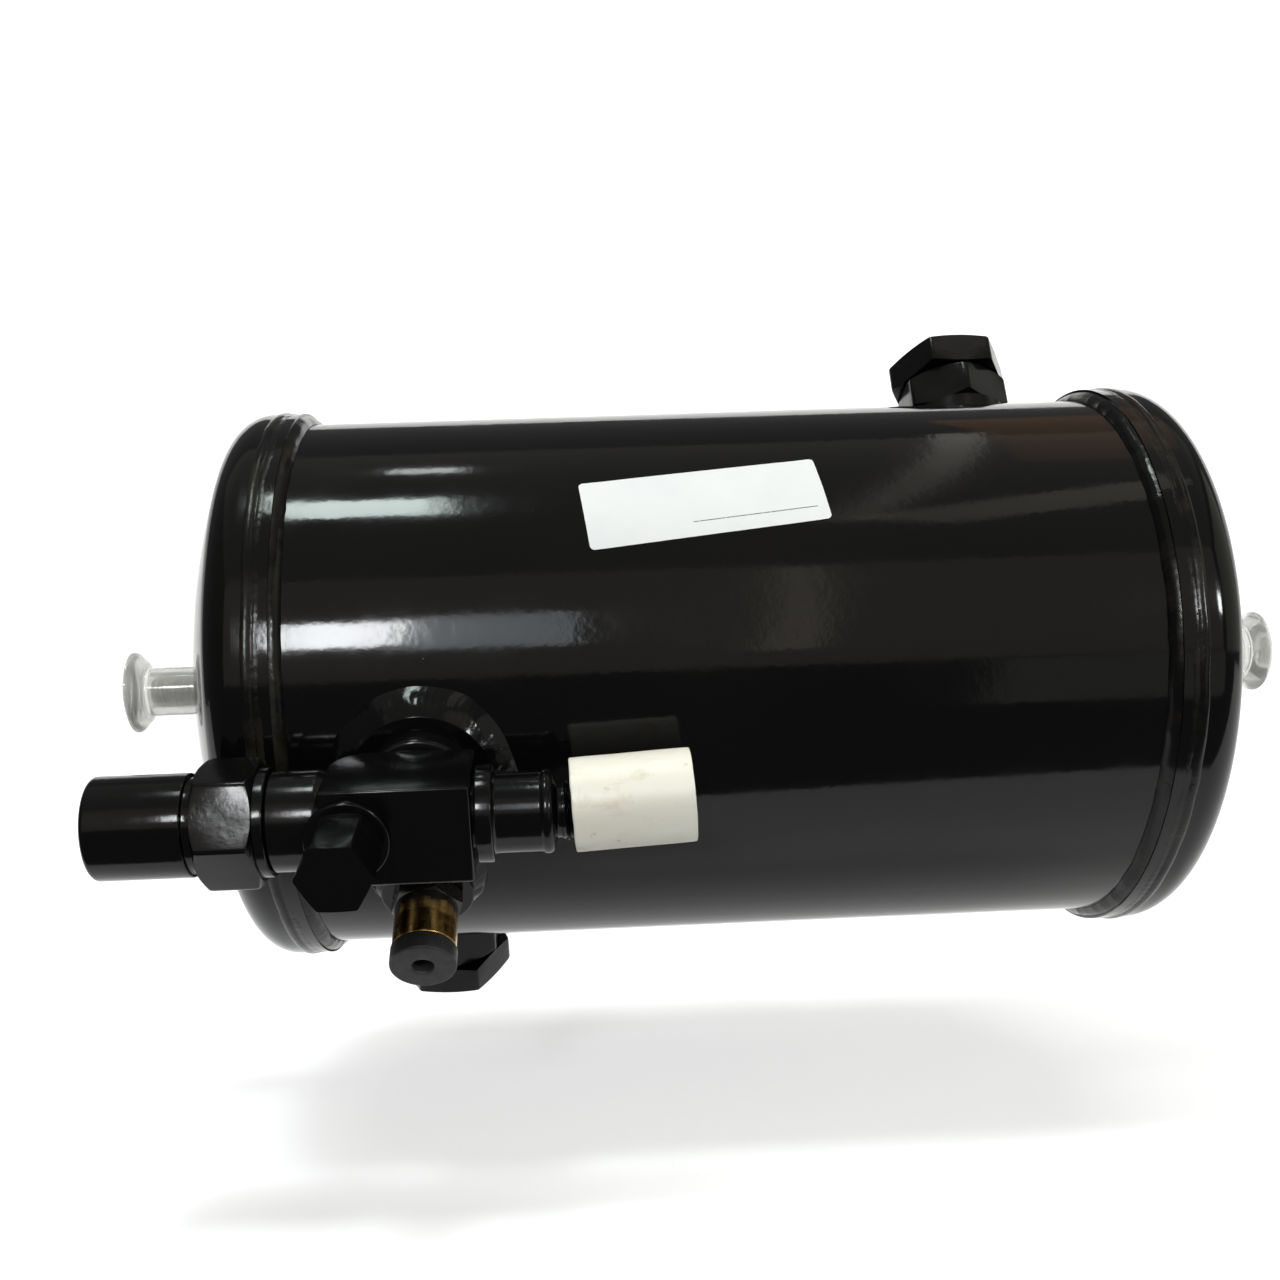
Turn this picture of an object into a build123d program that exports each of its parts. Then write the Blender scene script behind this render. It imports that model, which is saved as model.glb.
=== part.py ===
from build123d import *
import math
import os

# Receiver drier: a welded steel tank with a service valve, a relief valve and two capped ports.
# Millimetres. The origin is the foot of the left mounting stud, where it meets the head's crown.
# +X runs along the tank's axis and +Z is up. Angles round the tank are measured from the front (-Y)
# towards the top. Stations are places along the axis, measured from the middle of the tank.

# Tank
shell_radius = 76.2
shell_wall = 3.0
shell_half = 120.0
head_wall = 3.0
head_fit = 0.1
head_lap = 7.5
head_skirt_reach = 1.0
head_knuckle = 10.0
head_crown_radius = 180.0
head_weld_reach = 2.8
head_weld_cover = 5.5
head_weld_rise = 0.7

# Mounting studs and their plastic thread protectors
stud_radius = 5.0
stud_length = 18.7
stud_chamfer = 1.0
stud_weld_leg = 2.0
protector_gap = 0.5
protector_stem_radius = 7.2
protector_flange_radius = 12.0
protector_flange_length = 4.6
protector_neck_radius = 8.6
protector_cone_length = 3.2
protector_rounding = 1.2
protector_fit = 0.08
protector_end_space = 0.6
protector_end_wall = 5.3

# Service valve: where it stands, and its boss
valve_angle = -18.5
valve_inset = 43.0
valve_boss_radius = 18.0
valve_boss_height = 3.3
valve_pilot_radius = 12.0
valve_pilot_depth = 7.0
pilot_fit = 0.1
valve_weld_radius = 24.6
valve_weld_leg = 4.0
weld_gap = 0.05
spigot_radius = 9.0
spigot_depth = 9.0
spigot_fit = 0.05

# Service valve body, cut from square bar. Places along it are measured from its neck.
bar_size = 23.8
collar_radius = 14.3
collar_length = 7.0
block_left = -19.8
block_right = 14.0
block_rounding = 9.0
neck_bore_radius = 4.0
bonnet_radius = 11.9
bonnet_end = -32.4
nose_radius = 10.5
nose_end = -44.5
thread_fit = 0.05

# Valve stem, disc, packing and gland
back_seat = -18.0
chamber_radius = 7.0
disc_radius = 6.3
disc_length = 8.0
disc_gap = 0.1
disc_nose_radius = 3.5
disc_nose_length = 3.0
disc_socket_depth = 5.2
stem_travel = 12.7
seating_gap = 0.1
outlet_bore_radius = 4.6
stem_thread_radius = 5.0
stem_thread_end = -33.8
packing_start = -34.2
packing_end = -39.6
stem_radius = 4.0
stem_tip_radius = 3.0
stem_square_start = -58.5
stem_end = -68.2
stem_square = 5.6
running_fit = 0.06
gland_radius = 7.55
gland_length = 7.0
gland_slot_width = 2.5
gland_slot_depth = 2.0

# Stem cap
cap_washer_radius = 12.9
cap_washer_length = 2.4
cap_hex_flats = 27.1
cap_hex_length = 13.7
cap_hex_turn = 0.5
cap_groove_radius = 11.3
cap_groove_length = 2.4
cap_barrel_radius = 12.2
cap_barrel_length = 22.6
cap_chamfer = 1.2
cap_end_wall = 3.2
cap_cavity_radius = 8.1
cap_gasket_thickness = 1.5
gasket_gap = 0.1

# Outlet fitting and its plastic cap
outlet_collar_gap = 0.6
outlet_collar_radius = 11.5
outlet_collar_length = 4.0
outlet_socket_radius = 8.0
outlet_socket_depth = 3.5
outlet_barrel_radius = 9.45
outlet_barrel_end = 31.8
outlet_bead_radius = 9.8
outlet_bead_length = 1.6
outlet_chamfer_length = 1.2
outlet_relief_radius = 6.4
outlet_relief_end = 34.4
outlet_nose_radius = 7.2
outlet_nose_end = 53.0
outlet_cap_start = 37.0
outlet_cap_length = 28.3
outlet_cap_radius = 11.1
outlet_cap_wall = 1.7
outlet_cap_end_wall = 2.6
outlet_cap_edge = 0.8
outlet_cap_tilt = -3.2
outlet_cap_clearance = 0.1

# Service port on the valve's front
port_place = -14.0
port_flange_radius = 9.8
port_flange_length = 1.6
port_socket_radius = 4.8
port_socket_depth = 5.0
port_thread_radius = 5.55
port_thread_length = 10.0
port_bore_radius = 2.6
port_passage_radius = 1.6
port_cap_flats = 15.2
port_cap_length = 17.8
port_cap_gap = 0.2
port_cap_pocket_radius = 3.0
port_cap_pocket_depth = 2.4
port_gasket_thickness = 1.2
core_radius = 2.55
core_length = 8.0
core_top_depth = 1.6
core_bore_radius = 1.3
core_ring_bore = 0.75
core_ring_thickness = 1.5
core_pin_radius = 0.6
core_pin_rise = 1.4
core_head_radius = 1.9
core_head_thickness = 1.0
core_spring_wire = 0.3
core_spring_radius = 0.98
core_spring_turns = 6

# Relief valve
relief_arc = 31.92
relief_offset = -1.8
relief_boss_radius = 12.0
relief_boss_height = 5.8
relief_pilot_radius = 9.0
relief_weld_radius = 16.5
relief_weld_leg = 4.0
relief_thread_radius = 6.6
relief_thread_depth = 8.0
relief_hex_flats = 16.6
relief_hex_length = 4.6
relief_barrel_radius = 8.1
relief_length = 17.1
relief_barrel_chamfer = 0.5
relief_inlet_radius = 3.0
relief_seat_depth = 1.4
relief_seat_rim = 0.8
relief_bore_radius = 6.0
poppet_radius = 5.6
poppet_thickness = 2.6
poppet_guide_radius = 1.8
poppet_guide_length = 4.5
poppet_seal_radius = 4.6
poppet_seal_thickness = 1.0
adjuster_thickness = 3.6
adjuster_bore_radius = 2.6
relief_spring_radius = 3.6
relief_spring_wire = 1.1
relief_spring_turns = 3.5
dust_cap_radius = 8.4
dust_cap_length = 5.1
dust_cap_gap = 0.1
dust_cap_spigot_radius = 5.7
dust_cap_spigot_length = 3.5
dust_cap_hole_radius = 2.7
dust_cap_rounding = 0.5

# Capped ports, one high on the right and one low on the left
upper_port_angle = 115.0
upper_port_inset = 30.7
lower_port_angle = -118.5
lower_port_inset = 36.0
port_boss_radius = 16.6
port_boss_pilot_radius = 12.5
port_foot_height = 10.3
port_boss_hex_length = 12.1
port_boss_hex_flats = 31.5
port_boss_hex_turn = 32.0
port_nipple_radius = 11.0
port_nipple_length = 6.4
port_hole_radius = 8.0
port_weld_radius = 19.8
port_weld_leg = 5.5
plug_hex_flats = 33.4
plug_hex_turn = 2.0
plug_hex_slope = 15.0
plug_gap = 0.7
plug_hex_length = 9.7
plug_seal_thickness = 0.8

# Inside the tank
pickup_radius = 5.0
pickup_wall = 1.0
pickup_socket_depth = 7.0
pickup_clearance = 13.2
strainer_radius = 9.0
strainer_wall = 0.8
strainer_length = 16.0
strainer_gap = 3.0
strainer_slots = 8
strainer_slot_width = 2.0
bag_radius = 15.0
bag_share = 0.5
bag_station = 22.0
bag_angle = -90.0
rest_gap = 0.3

# Label
label_width = 62.0
label_height = 21.5
label_corner = 1.2
label_thickness = 0.12
label_station = -3.7
label_angle = 34.8
label_turn = 6.6

# Worked out from the sizes above
head_edge = shell_half - head_lap
head_skirt_end = shell_half + head_skirt_reach
head_weld_toe = head_edge - head_weld_reach
head_weld_end = head_edge + head_weld_cover
valve_station = valve_inset - shell_half
valve_boss_top = shell_radius + valve_boss_height
relief_angle = valve_angle - math.degrees(relief_arc / shell_radius)
relief_station = valve_station + relief_offset
relief_boss_top = shell_radius + relief_boss_height
relief_barrel_end = relief_boss_top + relief_length
relief_seat = relief_boss_top - relief_seat_depth
upper_port_station = shell_half - upper_port_inset
lower_port_station = lower_port_inset - shell_half
port_boss_hex_start = shell_radius + port_foot_height
port_boss_hex_end = port_boss_hex_start + port_boss_hex_length
port_nipple_end = port_boss_hex_end + port_nipple_length
plug_hex_start = port_boss_hex_end + plug_gap
plug_hex_end = plug_hex_start + plug_hex_length
pickup_end = pickup_clearance + shell_wall - shell_radius
bag_length = 2 * bag_share * shell_half
head_inner = shell_radius + head_fit
head_outer = head_inner + head_wall


def crown_depth(radius, knuckle, crown):
    """Depth of a dished head past its skirt."""
    return crown - math.sqrt((crown - knuckle) ** 2 - (radius - knuckle) ** 2)


tank_half = head_skirt_end + crown_depth(head_outer, head_knuckle, head_crown_radius)
valve_axis = valve_boss_top + collar_length + bar_size / 2
block_front = valve_axis + bar_size / 2
disc_left = back_seat + disc_gap
disc_right = disc_left + disc_length
cone_reach = disc_nose_length * (disc_radius - outlet_bore_radius) / (disc_radius - disc_nose_radius)
outlet_seat = disc_right + stem_travel + cone_reach + seating_gap
cap_mouth = bonnet_end - gasket_gap
cap_hex_high = cap_mouth - cap_washer_length
cap_hex_low = cap_hex_high - cap_hex_length
cap_barrel_start = cap_hex_low - cap_groove_length
cap_end = cap_barrel_start - cap_barrel_length
cap_gasket_start = nose_end - gasket_gap
cap_shoulder = cap_gasket_start - cap_gasket_thickness
port_flange_top = block_front + port_flange_length
port_thread_end = port_flange_top + port_thread_length
port_cap_start = port_flange_top + port_cap_gap
port_gasket_start = port_thread_end + gasket_gap
port_cap_shoulder = port_gasket_start + port_gasket_thickness
core_top = port_thread_end - core_top_depth
core_bottom = core_top - core_length
core_head_top = core_bottom - gasket_gap
poppet_start = relief_seat + relief_seat_rim + gasket_gap + poppet_seal_thickness
poppet_top = poppet_start + poppet_thickness
dust_cap_start = relief_barrel_end + dust_cap_gap
adjuster_end = dust_cap_start - dust_cap_spigot_length - gasket_gap
adjuster_start = adjuster_end - adjuster_thickness
plug_seal_start = port_nipple_end + gasket_gap
plug_seal_end = plug_seal_start + plug_seal_thickness


def outline(points):
    """Flat face in the XZ plane from (radius, height) points."""
    return Plane.XZ * make_face(Polyline(*points, close=True))


def turned(points):
    """Solid turned about Z from (radius, height) points."""
    return revolve(outline(points), Axis.Z)


def rod(radius, low, high):
    """Round bar about Z between two heights."""
    return Pos(0, 0, low) * Cylinder(radius, high - low, align=(Align.CENTER, Align.CENTER, Align.MIN))


def ring(outer, inner, low, high):
    """Tube about Z between two heights."""
    return rod(outer, low, high) - rod(inner, low, high)


def hex_bar(flats, low, high, turn=0.0, slope=30.0):
    """Hexagon bar about Z with both ends chamfered, like a nut."""
    corner = flats / math.sqrt(3)
    drop = (corner - flats / 2) * math.tan(math.radians(slope))
    bar = extrude(RegularPolygon(corner, 6, rotation=turn), amount=high - low)
    points = [(0, low), (flats / 2, low), (corner, low + drop), (corner, high - drop)]
    return Pos(0, 0, low) * bar & turned(points + [(flats / 2, high), (0, high)])


def coil(radius, wire, low, high, turns):
    """Open coil spring about Z between two heights."""
    rise = high - low - wire
    path = Helix(rise / turns, rise, radius)
    section = (path ^ 0) * Circle(wire / 2)
    return Pos(0, 0, low + wire / 2) * sweep(section, path=path)


def on_tank(shape, angle, station):
    """Put a shape, made with Z pointing out from the tank's axis, at its angle and station."""
    return Pos(tank_half + station, 0, 0) * Rot(90 - angle, 0, 0) * shape


def on_valve(shape):
    """Put a shape, made with Z along the valve's passage, in the service valve."""
    return on_tank(Pos(0, 0, valve_axis) * Rot(0, 90, 0) * shape, valve_angle, valve_station)


def on_port(shape):
    """Put a shape, made with Z pointing out from the tank's axis, on the valve's service port."""
    return on_tank(shape, valve_angle, valve_station + port_place)


def on_relief(shape):
    """Put a shape, made with Z pointing out from the tank's axis, on the relief valve's axis."""
    return on_tank(shape, relief_angle, relief_station)


def along_tank(shape):
    """Put a shape, made with Z along the tank from its middle, in place."""
    return Pos(tank_half, 0, 0) * Rot(0, 90, 0) * shape


def both_ends(shape, side):
    """Put a shape, made for the right-hand end with Z along the tank, at either end."""
    if side < 0:
        shape = mirror(shape, Plane.XY)
    return along_tank(shape)


def tank_solid():
    """The space that the shell fills, with its inside, to cut what sits on it."""
    return along_tank(rod(shell_radius, -tank_half, tank_half))


def dished(radius, knuckle, crown, start):
    """Closed solid of a dished head about Z, from a height on its skirt to its crown."""
    tilt = math.asin((radius - knuckle) / (crown - knuckle))
    apex = head_skirt_end + crown_depth(radius, knuckle, crown)
    joint = (crown * math.sin(tilt), apex - crown + crown * math.cos(tilt))
    middle = math.pi / 4 - tilt / 2
    bend = (radius - knuckle + knuckle * math.cos(middle), head_skirt_end + knuckle * math.sin(middle))
    over = (crown * math.sin(tilt / 2), apex - crown + crown * math.cos(tilt / 2))
    edges = [
        Line((0, start), (radius, start)),
        Line((radius, start), (radius, head_skirt_end)),
        ThreePointArc((radius, head_skirt_end), bend, joint),
        ThreePointArc(joint, over, (0, apex)),
        Line((0, apex), (0, start)),
    ]
    return revolve(Plane.XZ * make_face(edges), Axis.Z)


def make_head(side):
    """Dished end cap that laps over the shell."""
    outer = dished(head_outer, head_knuckle, head_crown_radius, head_edge)
    inner = dished(head_inner, head_knuckle - head_wall, head_crown_radius - head_wall, head_edge)
    return both_ends(outer - inner, side)


def make_shell():
    """Rolled shell with a hole for each boss."""
    shell = along_tank(ring(shell_radius, shell_radius - shell_wall, -shell_half, shell_half))
    holes = [
        (valve_pilot_radius, valve_angle, valve_station),
        (relief_pilot_radius, relief_angle, relief_station),
        (port_boss_pilot_radius, upper_port_angle, upper_port_station),
        (port_boss_pilot_radius, lower_port_angle, lower_port_station),
    ]
    for radius, angle, station in holes:
        shell -= on_tank(rod(radius + pilot_fit, 0, 2 * shell_radius), angle, station)
    return shell


def make_head_weld(side):
    """Convex bead round the edge of a head."""
    peak = ((head_weld_toe + head_weld_end) / 2, head_outer + head_weld_rise)
    edges = [
        Line((shell_radius, head_weld_toe), (shell_radius, head_edge)),
        Line((shell_radius, head_edge), (head_outer, head_edge)),
        Line((head_outer, head_edge), (head_outer, head_weld_end)),
        ThreePointArc((head_outer, head_weld_end), (peak[1], peak[0]), (shell_radius, head_weld_toe)),
    ]
    return both_ends(revolve(Plane.XZ * make_face(edges), Axis.Z), side)


def make_stud(side):
    """Threaded mounting stud welded to the crown of a head."""
    end = tank_half + stud_length
    points = [(0, head_skirt_end), (stud_radius, head_skirt_end), (stud_radius, end - stud_chamfer)]
    stud = turned(points + [(stud_radius - stud_chamfer, end), (0, end)])
    return both_ends(stud - dished(head_outer, head_knuckle, head_crown_radius, 0), side)


def make_stud_weld(side):
    """Fillet weld round the foot of a stud."""
    low = head_skirt_end
    points = [
        (stud_radius, low),
        (stud_radius + stud_weld_leg, low),
        (stud_radius + stud_weld_leg, tank_half),
        (stud_radius, tank_half + stud_weld_leg),
    ]
    return both_ends(turned(points) - dished(head_outer, head_knuckle, head_crown_radius, 0), side)


def make_protector(side):
    """Push-on plastic thread protector with a thick flange."""
    start = tank_half + stud_weld_leg + protector_gap
    bottom = tank_half + stud_length + protector_end_space
    end = bottom + protector_end_wall
    flange = end - protector_flange_length
    bore = stud_radius + protector_fit
    points = [
        (bore, start),
        (protector_stem_radius, start),
        (protector_stem_radius, flange),
        (protector_neck_radius, flange),
        (protector_flange_radius, flange + protector_cone_length),
        (protector_flange_radius, end - protector_rounding),
        (protector_flange_radius - protector_rounding / 3, end - protector_rounding / 3),
        (protector_flange_radius - protector_rounding, end),
        (0, end),
        (0, bottom),
        (bore, bottom),
    ]
    return both_ends(turned(points), side)


def make_saddle_weld(boss_radius, toe_radius, leg, angle, station):
    """Fillet weld between a round boss and the curved shell."""
    low = shell_radius - 3 * leg
    top = shell_radius + leg
    rim = math.sqrt(shell_radius**2 - toe_radius**2)
    bulge = ((boss_radius + toe_radius) / 2 + leg / 5, (top + rim) / 2 + leg / 5)
    edges = [
        Line((boss_radius, low), (toe_radius, low)),
        Line((toe_radius, low), (toe_radius, rim)),
        ThreePointArc((toe_radius, rim), bulge, (boss_radius, top)),
        Line((boss_radius, top), (boss_radius, low)),
    ]
    return on_tank(revolve(Plane.XZ * make_face(edges), Axis.Z), angle, station) - tank_solid()


def make_valve_boss():
    """Round boss that carries the service valve, with a pilot through the shell."""
    pad = on_tank(rod(valve_boss_radius, 0, valve_boss_top), valve_angle, valve_station) - tank_solid()
    low = shell_radius - valve_pilot_depth
    pilot = on_tank(rod(valve_pilot_radius, low, valve_boss_top), valve_angle, valve_station)
    bore = on_tank(rod(spigot_radius + spigot_fit, 0, valve_boss_top), valve_angle, valve_station)
    return pad + pilot - bore


def make_valve_weld():
    """Weld round the service valve's boss, up to the relief valve's boss."""
    weld = make_saddle_weld(
        valve_boss_radius, valve_weld_radius, valve_weld_leg, valve_angle, valve_station
    )
    return weld - on_relief(rod(relief_boss_radius + weld_gap, 0, relief_boss_top))


def make_valve_body():
    """Square bar block with its round collar, spigot, bonnet and threaded nose, bored through."""
    width = block_right - block_left
    block = Pos(block_left, 0, block_front - bar_size) * Box(
        width, bar_size, bar_size, align=(Align.MIN, Align.CENTER, Align.MIN)
    )
    corner = block.edges().filter_by(Axis.Y).group_by(Axis.X)[0].sort_by(Axis.Z)[0]
    block = fillet(corner, block_rounding)
    spigot_low = valve_boss_top - spigot_depth
    neck = rod(collar_radius, valve_boss_top, valve_axis - bar_size / 2)
    neck += rod(spigot_radius, spigot_low, valve_boss_top)
    lying = block + neck
    bonnet = rod(bonnet_radius, bonnet_end, block_left) + rod(nose_radius, nose_end, bonnet_end)
    body = on_tank(lying, valve_angle, valve_station) + on_valve(bonnet)
    gland_bore = gland_radius + thread_fit
    passage = rod(gland_bore, nose_end, packing_start)
    passage += rod(stem_thread_radius + running_fit, packing_start, back_seat)
    passage += rod(chamber_radius, back_seat, outlet_seat)
    passage += rod(outlet_bore_radius, outlet_seat, block_right)
    passage += rod(outlet_socket_radius + spigot_fit, block_right - outlet_socket_depth, block_right)
    neck_bore = rod(neck_bore_radius, spigot_low, valve_axis)
    neck_bore += rod(pickup_radius + spigot_fit, spigot_low, spigot_low + pickup_socket_depth)
    port_bore = rod(port_passage_radius, valve_axis, block_front)
    port_bore += rod(port_socket_radius + spigot_fit, block_front - port_socket_depth, block_front)
    body -= on_valve(passage)
    body -= on_tank(neck_bore, valve_angle, valve_station)
    return body - on_port(port_bore)


def make_seat_disc():
    """Swivelling disc with a cone that closes the outlet."""
    points = [
        (0, disc_left + disc_socket_depth),
        (stem_tip_radius + running_fit, disc_left + disc_socket_depth),
        (stem_tip_radius + running_fit, disc_left),
        (disc_radius, disc_left),
        (disc_radius, disc_right),
        (disc_nose_radius, disc_right + disc_nose_length),
        (0, disc_right + disc_nose_length),
    ]
    return on_valve(turned(points))


def make_valve_stem():
    """Threaded stem with a swivel tip inside and a square end outside."""
    tip_end = disc_left + disc_socket_depth - disc_gap
    points = [
        (0, stem_square_start),
        (stem_radius, stem_square_start),
        (stem_radius, stem_thread_end),
        (stem_thread_radius, stem_thread_end),
        (stem_thread_radius, disc_left - disc_gap),
        (stem_tip_radius, disc_left - disc_gap),
        (stem_tip_radius, tip_end),
        (0, tip_end),
    ]
    length = stem_square_start - stem_end
    square = Pos(0, 0, stem_end) * Box(
        stem_square, stem_square, length, align=(Align.CENTER, Align.CENTER, Align.MIN)
    )
    return on_valve(turned(points) + (square & rod(stem_radius, stem_end, stem_square_start)))


def make_stem_packing():
    """Packing ring that seals the stem."""
    return on_valve(ring(gland_radius, stem_radius + running_fit, packing_end, packing_start))


def make_gland_nut():
    """Gland nut with a driver slot, screwed in over the packing."""
    end = packing_end - gland_length
    nut = ring(gland_radius, stem_radius + running_fit, end, packing_end)
    slot = Pos(0, 0, end) * Box(gland_slot_width, 4 * gland_radius, 2 * gland_slot_depth)
    return on_valve(nut - slot)


def make_stem_cap():
    """Long seal cap: a washer face, a hexagon, a groove and a round closed barrel."""
    hexagon = hex_bar(cap_hex_flats, cap_hex_low, cap_hex_high, cap_hex_turn)
    hexagon += rod(cap_washer_radius, cap_hex_high, cap_mouth)
    points = [
        (0, cap_end),
        (cap_barrel_radius - cap_chamfer, cap_end),
        (cap_barrel_radius, cap_end + cap_chamfer),
        (cap_barrel_radius, cap_barrel_start),
        (cap_groove_radius, cap_barrel_start),
        (cap_groove_radius, cap_hex_low),
        (0, cap_hex_low),
    ]
    hollow = rod(nose_radius + thread_fit, cap_shoulder, cap_mouth)
    hollow += rod(cap_cavity_radius, cap_end + cap_end_wall, cap_shoulder)
    return on_valve(hexagon + turned(points) - hollow)


def make_stem_cap_gasket():
    """Flat sealing ring inside the stem cap."""
    return on_valve(ring(nose_radius, cap_cavity_radius + thread_fit, cap_shoulder, cap_gasket_start))


def make_outlet_fitting():
    """Outlet fitting with a collar, a barrel with a bead, a thread relief and a nose."""
    collar_start = block_right + outlet_collar_gap
    collar_end = collar_start + outlet_collar_length
    bead_start = outlet_barrel_end - outlet_bead_length
    chamfer_end = outlet_barrel_end + outlet_chamfer_length
    points = [
        (outlet_bore_radius, block_right - outlet_socket_depth),
        (outlet_socket_radius, block_right - outlet_socket_depth),
        (outlet_socket_radius, collar_start),
        (outlet_collar_radius, collar_start),
        (outlet_collar_radius, collar_end),
        (outlet_barrel_radius, collar_end),
        (outlet_barrel_radius, bead_start),
        (outlet_bead_radius, bead_start + outlet_bead_length / 3),
        (outlet_bead_radius, outlet_barrel_end),
        (outlet_relief_radius, chamfer_end),
        (outlet_relief_radius, outlet_relief_end),
        (outlet_nose_radius, outlet_relief_end),
        (outlet_nose_radius, outlet_nose_end),
        (outlet_bore_radius, outlet_nose_end),
    ]
    return on_valve(turned(points))


def make_outlet_cap():
    """Loose plastic cap, cocked until its far end rests against the outlet's nose."""
    middle = (outlet_relief_end + outlet_nose_end) / 2
    low = outlet_cap_start - middle
    high = low + outlet_cap_length
    bore = outlet_cap_radius - outlet_cap_wall
    lean = (outlet_nose_end - middle) * math.tan(math.radians(abs(outlet_cap_tilt)))
    lift = bore - outlet_nose_radius - lean - outlet_cap_clearance
    points = [
        (bore, low),
        (outlet_cap_radius, low),
        (outlet_cap_radius, high - outlet_cap_edge),
        (outlet_cap_radius - outlet_cap_edge, high),
        (0, high),
        (0, high - outlet_cap_end_wall),
        (bore, high - outlet_cap_end_wall),
    ]
    return on_valve(Pos(0, lift, middle) * Rot(outlet_cap_tilt, 0, 0) * turned(points))


def make_port_fitting():
    """Service port with a round flange and a thread, brazed into the block's front."""
    points = [
        (port_passage_radius, block_front - port_socket_depth),
        (port_socket_radius, block_front - port_socket_depth),
        (port_socket_radius, block_front),
        (port_flange_radius, block_front),
        (port_flange_radius, port_flange_top),
        (port_thread_radius, port_flange_top),
        (port_thread_radius, port_thread_end),
        (port_bore_radius, port_thread_end),
        (port_bore_radius, block_front - port_socket_depth / 2),
        (port_passage_radius, block_front - port_socket_depth / 2),
    ]
    return on_port(turned(points))


def make_valve_core():
    """Sleeve of the port's valve core, with a guide ring at its top."""
    sleeve = ring(core_radius, core_bore_radius, core_bottom, core_top)
    guide = ring(core_bore_radius + thread_fit, core_ring_bore, core_top - core_ring_thickness, core_top)
    return on_port(sleeve + guide)


def make_core_pin():
    """Pin of the valve core, with its sealing head below the sleeve."""
    pin = rod(core_pin_radius, core_head_top, core_top + core_pin_rise)
    head = rod(core_head_radius, core_head_top - core_head_thickness, core_head_top)
    return on_port(pin + head)


def make_core_spring():
    """Spring round the pin of the valve core."""
    high = core_top - core_ring_thickness - gasket_gap
    return on_port(coil(core_spring_radius, core_spring_wire, core_bottom, high, core_spring_turns))


def make_port_cap():
    """Hexagon cap of the service port."""
    end = port_cap_start + port_cap_length
    cap = hex_bar(port_cap_flats, port_cap_start, end)
    cap -= rod(port_thread_radius + thread_fit, port_cap_start, port_cap_shoulder)
    pocket_end = port_cap_shoulder + port_cap_pocket_depth
    return on_port(cap - rod(port_cap_pocket_radius, port_cap_shoulder, pocket_end))


def make_port_cap_gasket():
    """Sealing ring inside the service port's cap."""
    return on_port(ring(port_thread_radius, port_cap_pocket_radius, port_gasket_start, port_cap_shoulder))


def make_relief_boss():
    """Round boss of the relief valve, with a pilot through the shell."""
    pad = on_relief(rod(relief_boss_radius, 0, relief_boss_top)) - tank_solid()
    low = shell_radius - valve_pilot_depth
    pilot = on_relief(rod(relief_pilot_radius, low, relief_boss_top))
    return pad + pilot - on_relief(rod(relief_thread_radius + spigot_fit, 0, relief_boss_top))


def make_relief_weld():
    """Weld round the relief valve's boss, running into the service valve's weld."""
    weld = make_saddle_weld(
        relief_boss_radius, relief_weld_radius, relief_weld_leg, relief_angle, relief_station
    )
    keep_out = rod(valve_weld_radius + weld_gap, 0, 2 * shell_radius)
    return weld - on_tank(keep_out, valve_angle, valve_station)


def make_relief_body():
    """Brass body of the relief valve: thread, hexagon and round barrel."""
    low = relief_boss_top - relief_thread_depth
    hex_top = relief_boss_top + relief_hex_length
    points = [
        (0, hex_top),
        (relief_barrel_radius, hex_top),
        (relief_barrel_radius, relief_barrel_end - relief_barrel_chamfer),
        (relief_barrel_radius - relief_barrel_chamfer, relief_barrel_end),
        (0, relief_barrel_end),
    ]
    body = rod(relief_thread_radius, low, relief_boss_top)
    body += hex_bar(relief_hex_flats, relief_boss_top, hex_top)
    body += turned(points)
    body -= rod(relief_bore_radius, relief_seat, relief_barrel_end)
    seat_rim = relief_inlet_radius + relief_seat_rim
    body += ring(seat_rim, relief_inlet_radius, relief_seat, relief_seat + relief_seat_rim)
    return on_relief(body - rod(relief_inlet_radius, low, relief_seat))


def make_relief_poppet():
    """Poppet with a guide pin for the spring and a recess for its seal."""
    poppet = rod(poppet_radius, poppet_start - poppet_seal_thickness / 2, poppet_top)
    poppet += rod(poppet_guide_radius, poppet_top, poppet_top + poppet_guide_length)
    return on_relief(poppet - rod(poppet_seal_radius, relief_seat, poppet_start))


def make_relief_seal():
    """Rubber disc in the poppet."""
    return on_relief(rod(poppet_seal_radius, poppet_start - poppet_seal_thickness, poppet_start))


def make_relief_spring():
    """Spring that holds the poppet on its seat."""
    return on_relief(
        coil(relief_spring_radius, relief_spring_wire, poppet_top, adjuster_start, relief_spring_turns)
    )


def make_relief_adjuster():
    """Threaded ring that sets the spring."""
    outer = relief_bore_radius - thread_fit
    return on_relief(ring(outer, adjuster_bore_radius, adjuster_start, adjuster_end))


def make_relief_dust_cap():
    """Rubber dust cap with a weep hole, pushed into the barrel's mouth."""
    end = dust_cap_start + dust_cap_length
    points = [
        (dust_cap_hole_radius, dust_cap_start - dust_cap_spigot_length),
        (dust_cap_spigot_radius, dust_cap_start - dust_cap_spigot_length),
        (dust_cap_spigot_radius, dust_cap_start),
        (dust_cap_radius, dust_cap_start),
        (dust_cap_radius, end - dust_cap_rounding),
        (dust_cap_radius - dust_cap_rounding, end),
        (dust_cap_hole_radius, end),
    ]
    return on_relief(turned(points))


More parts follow.
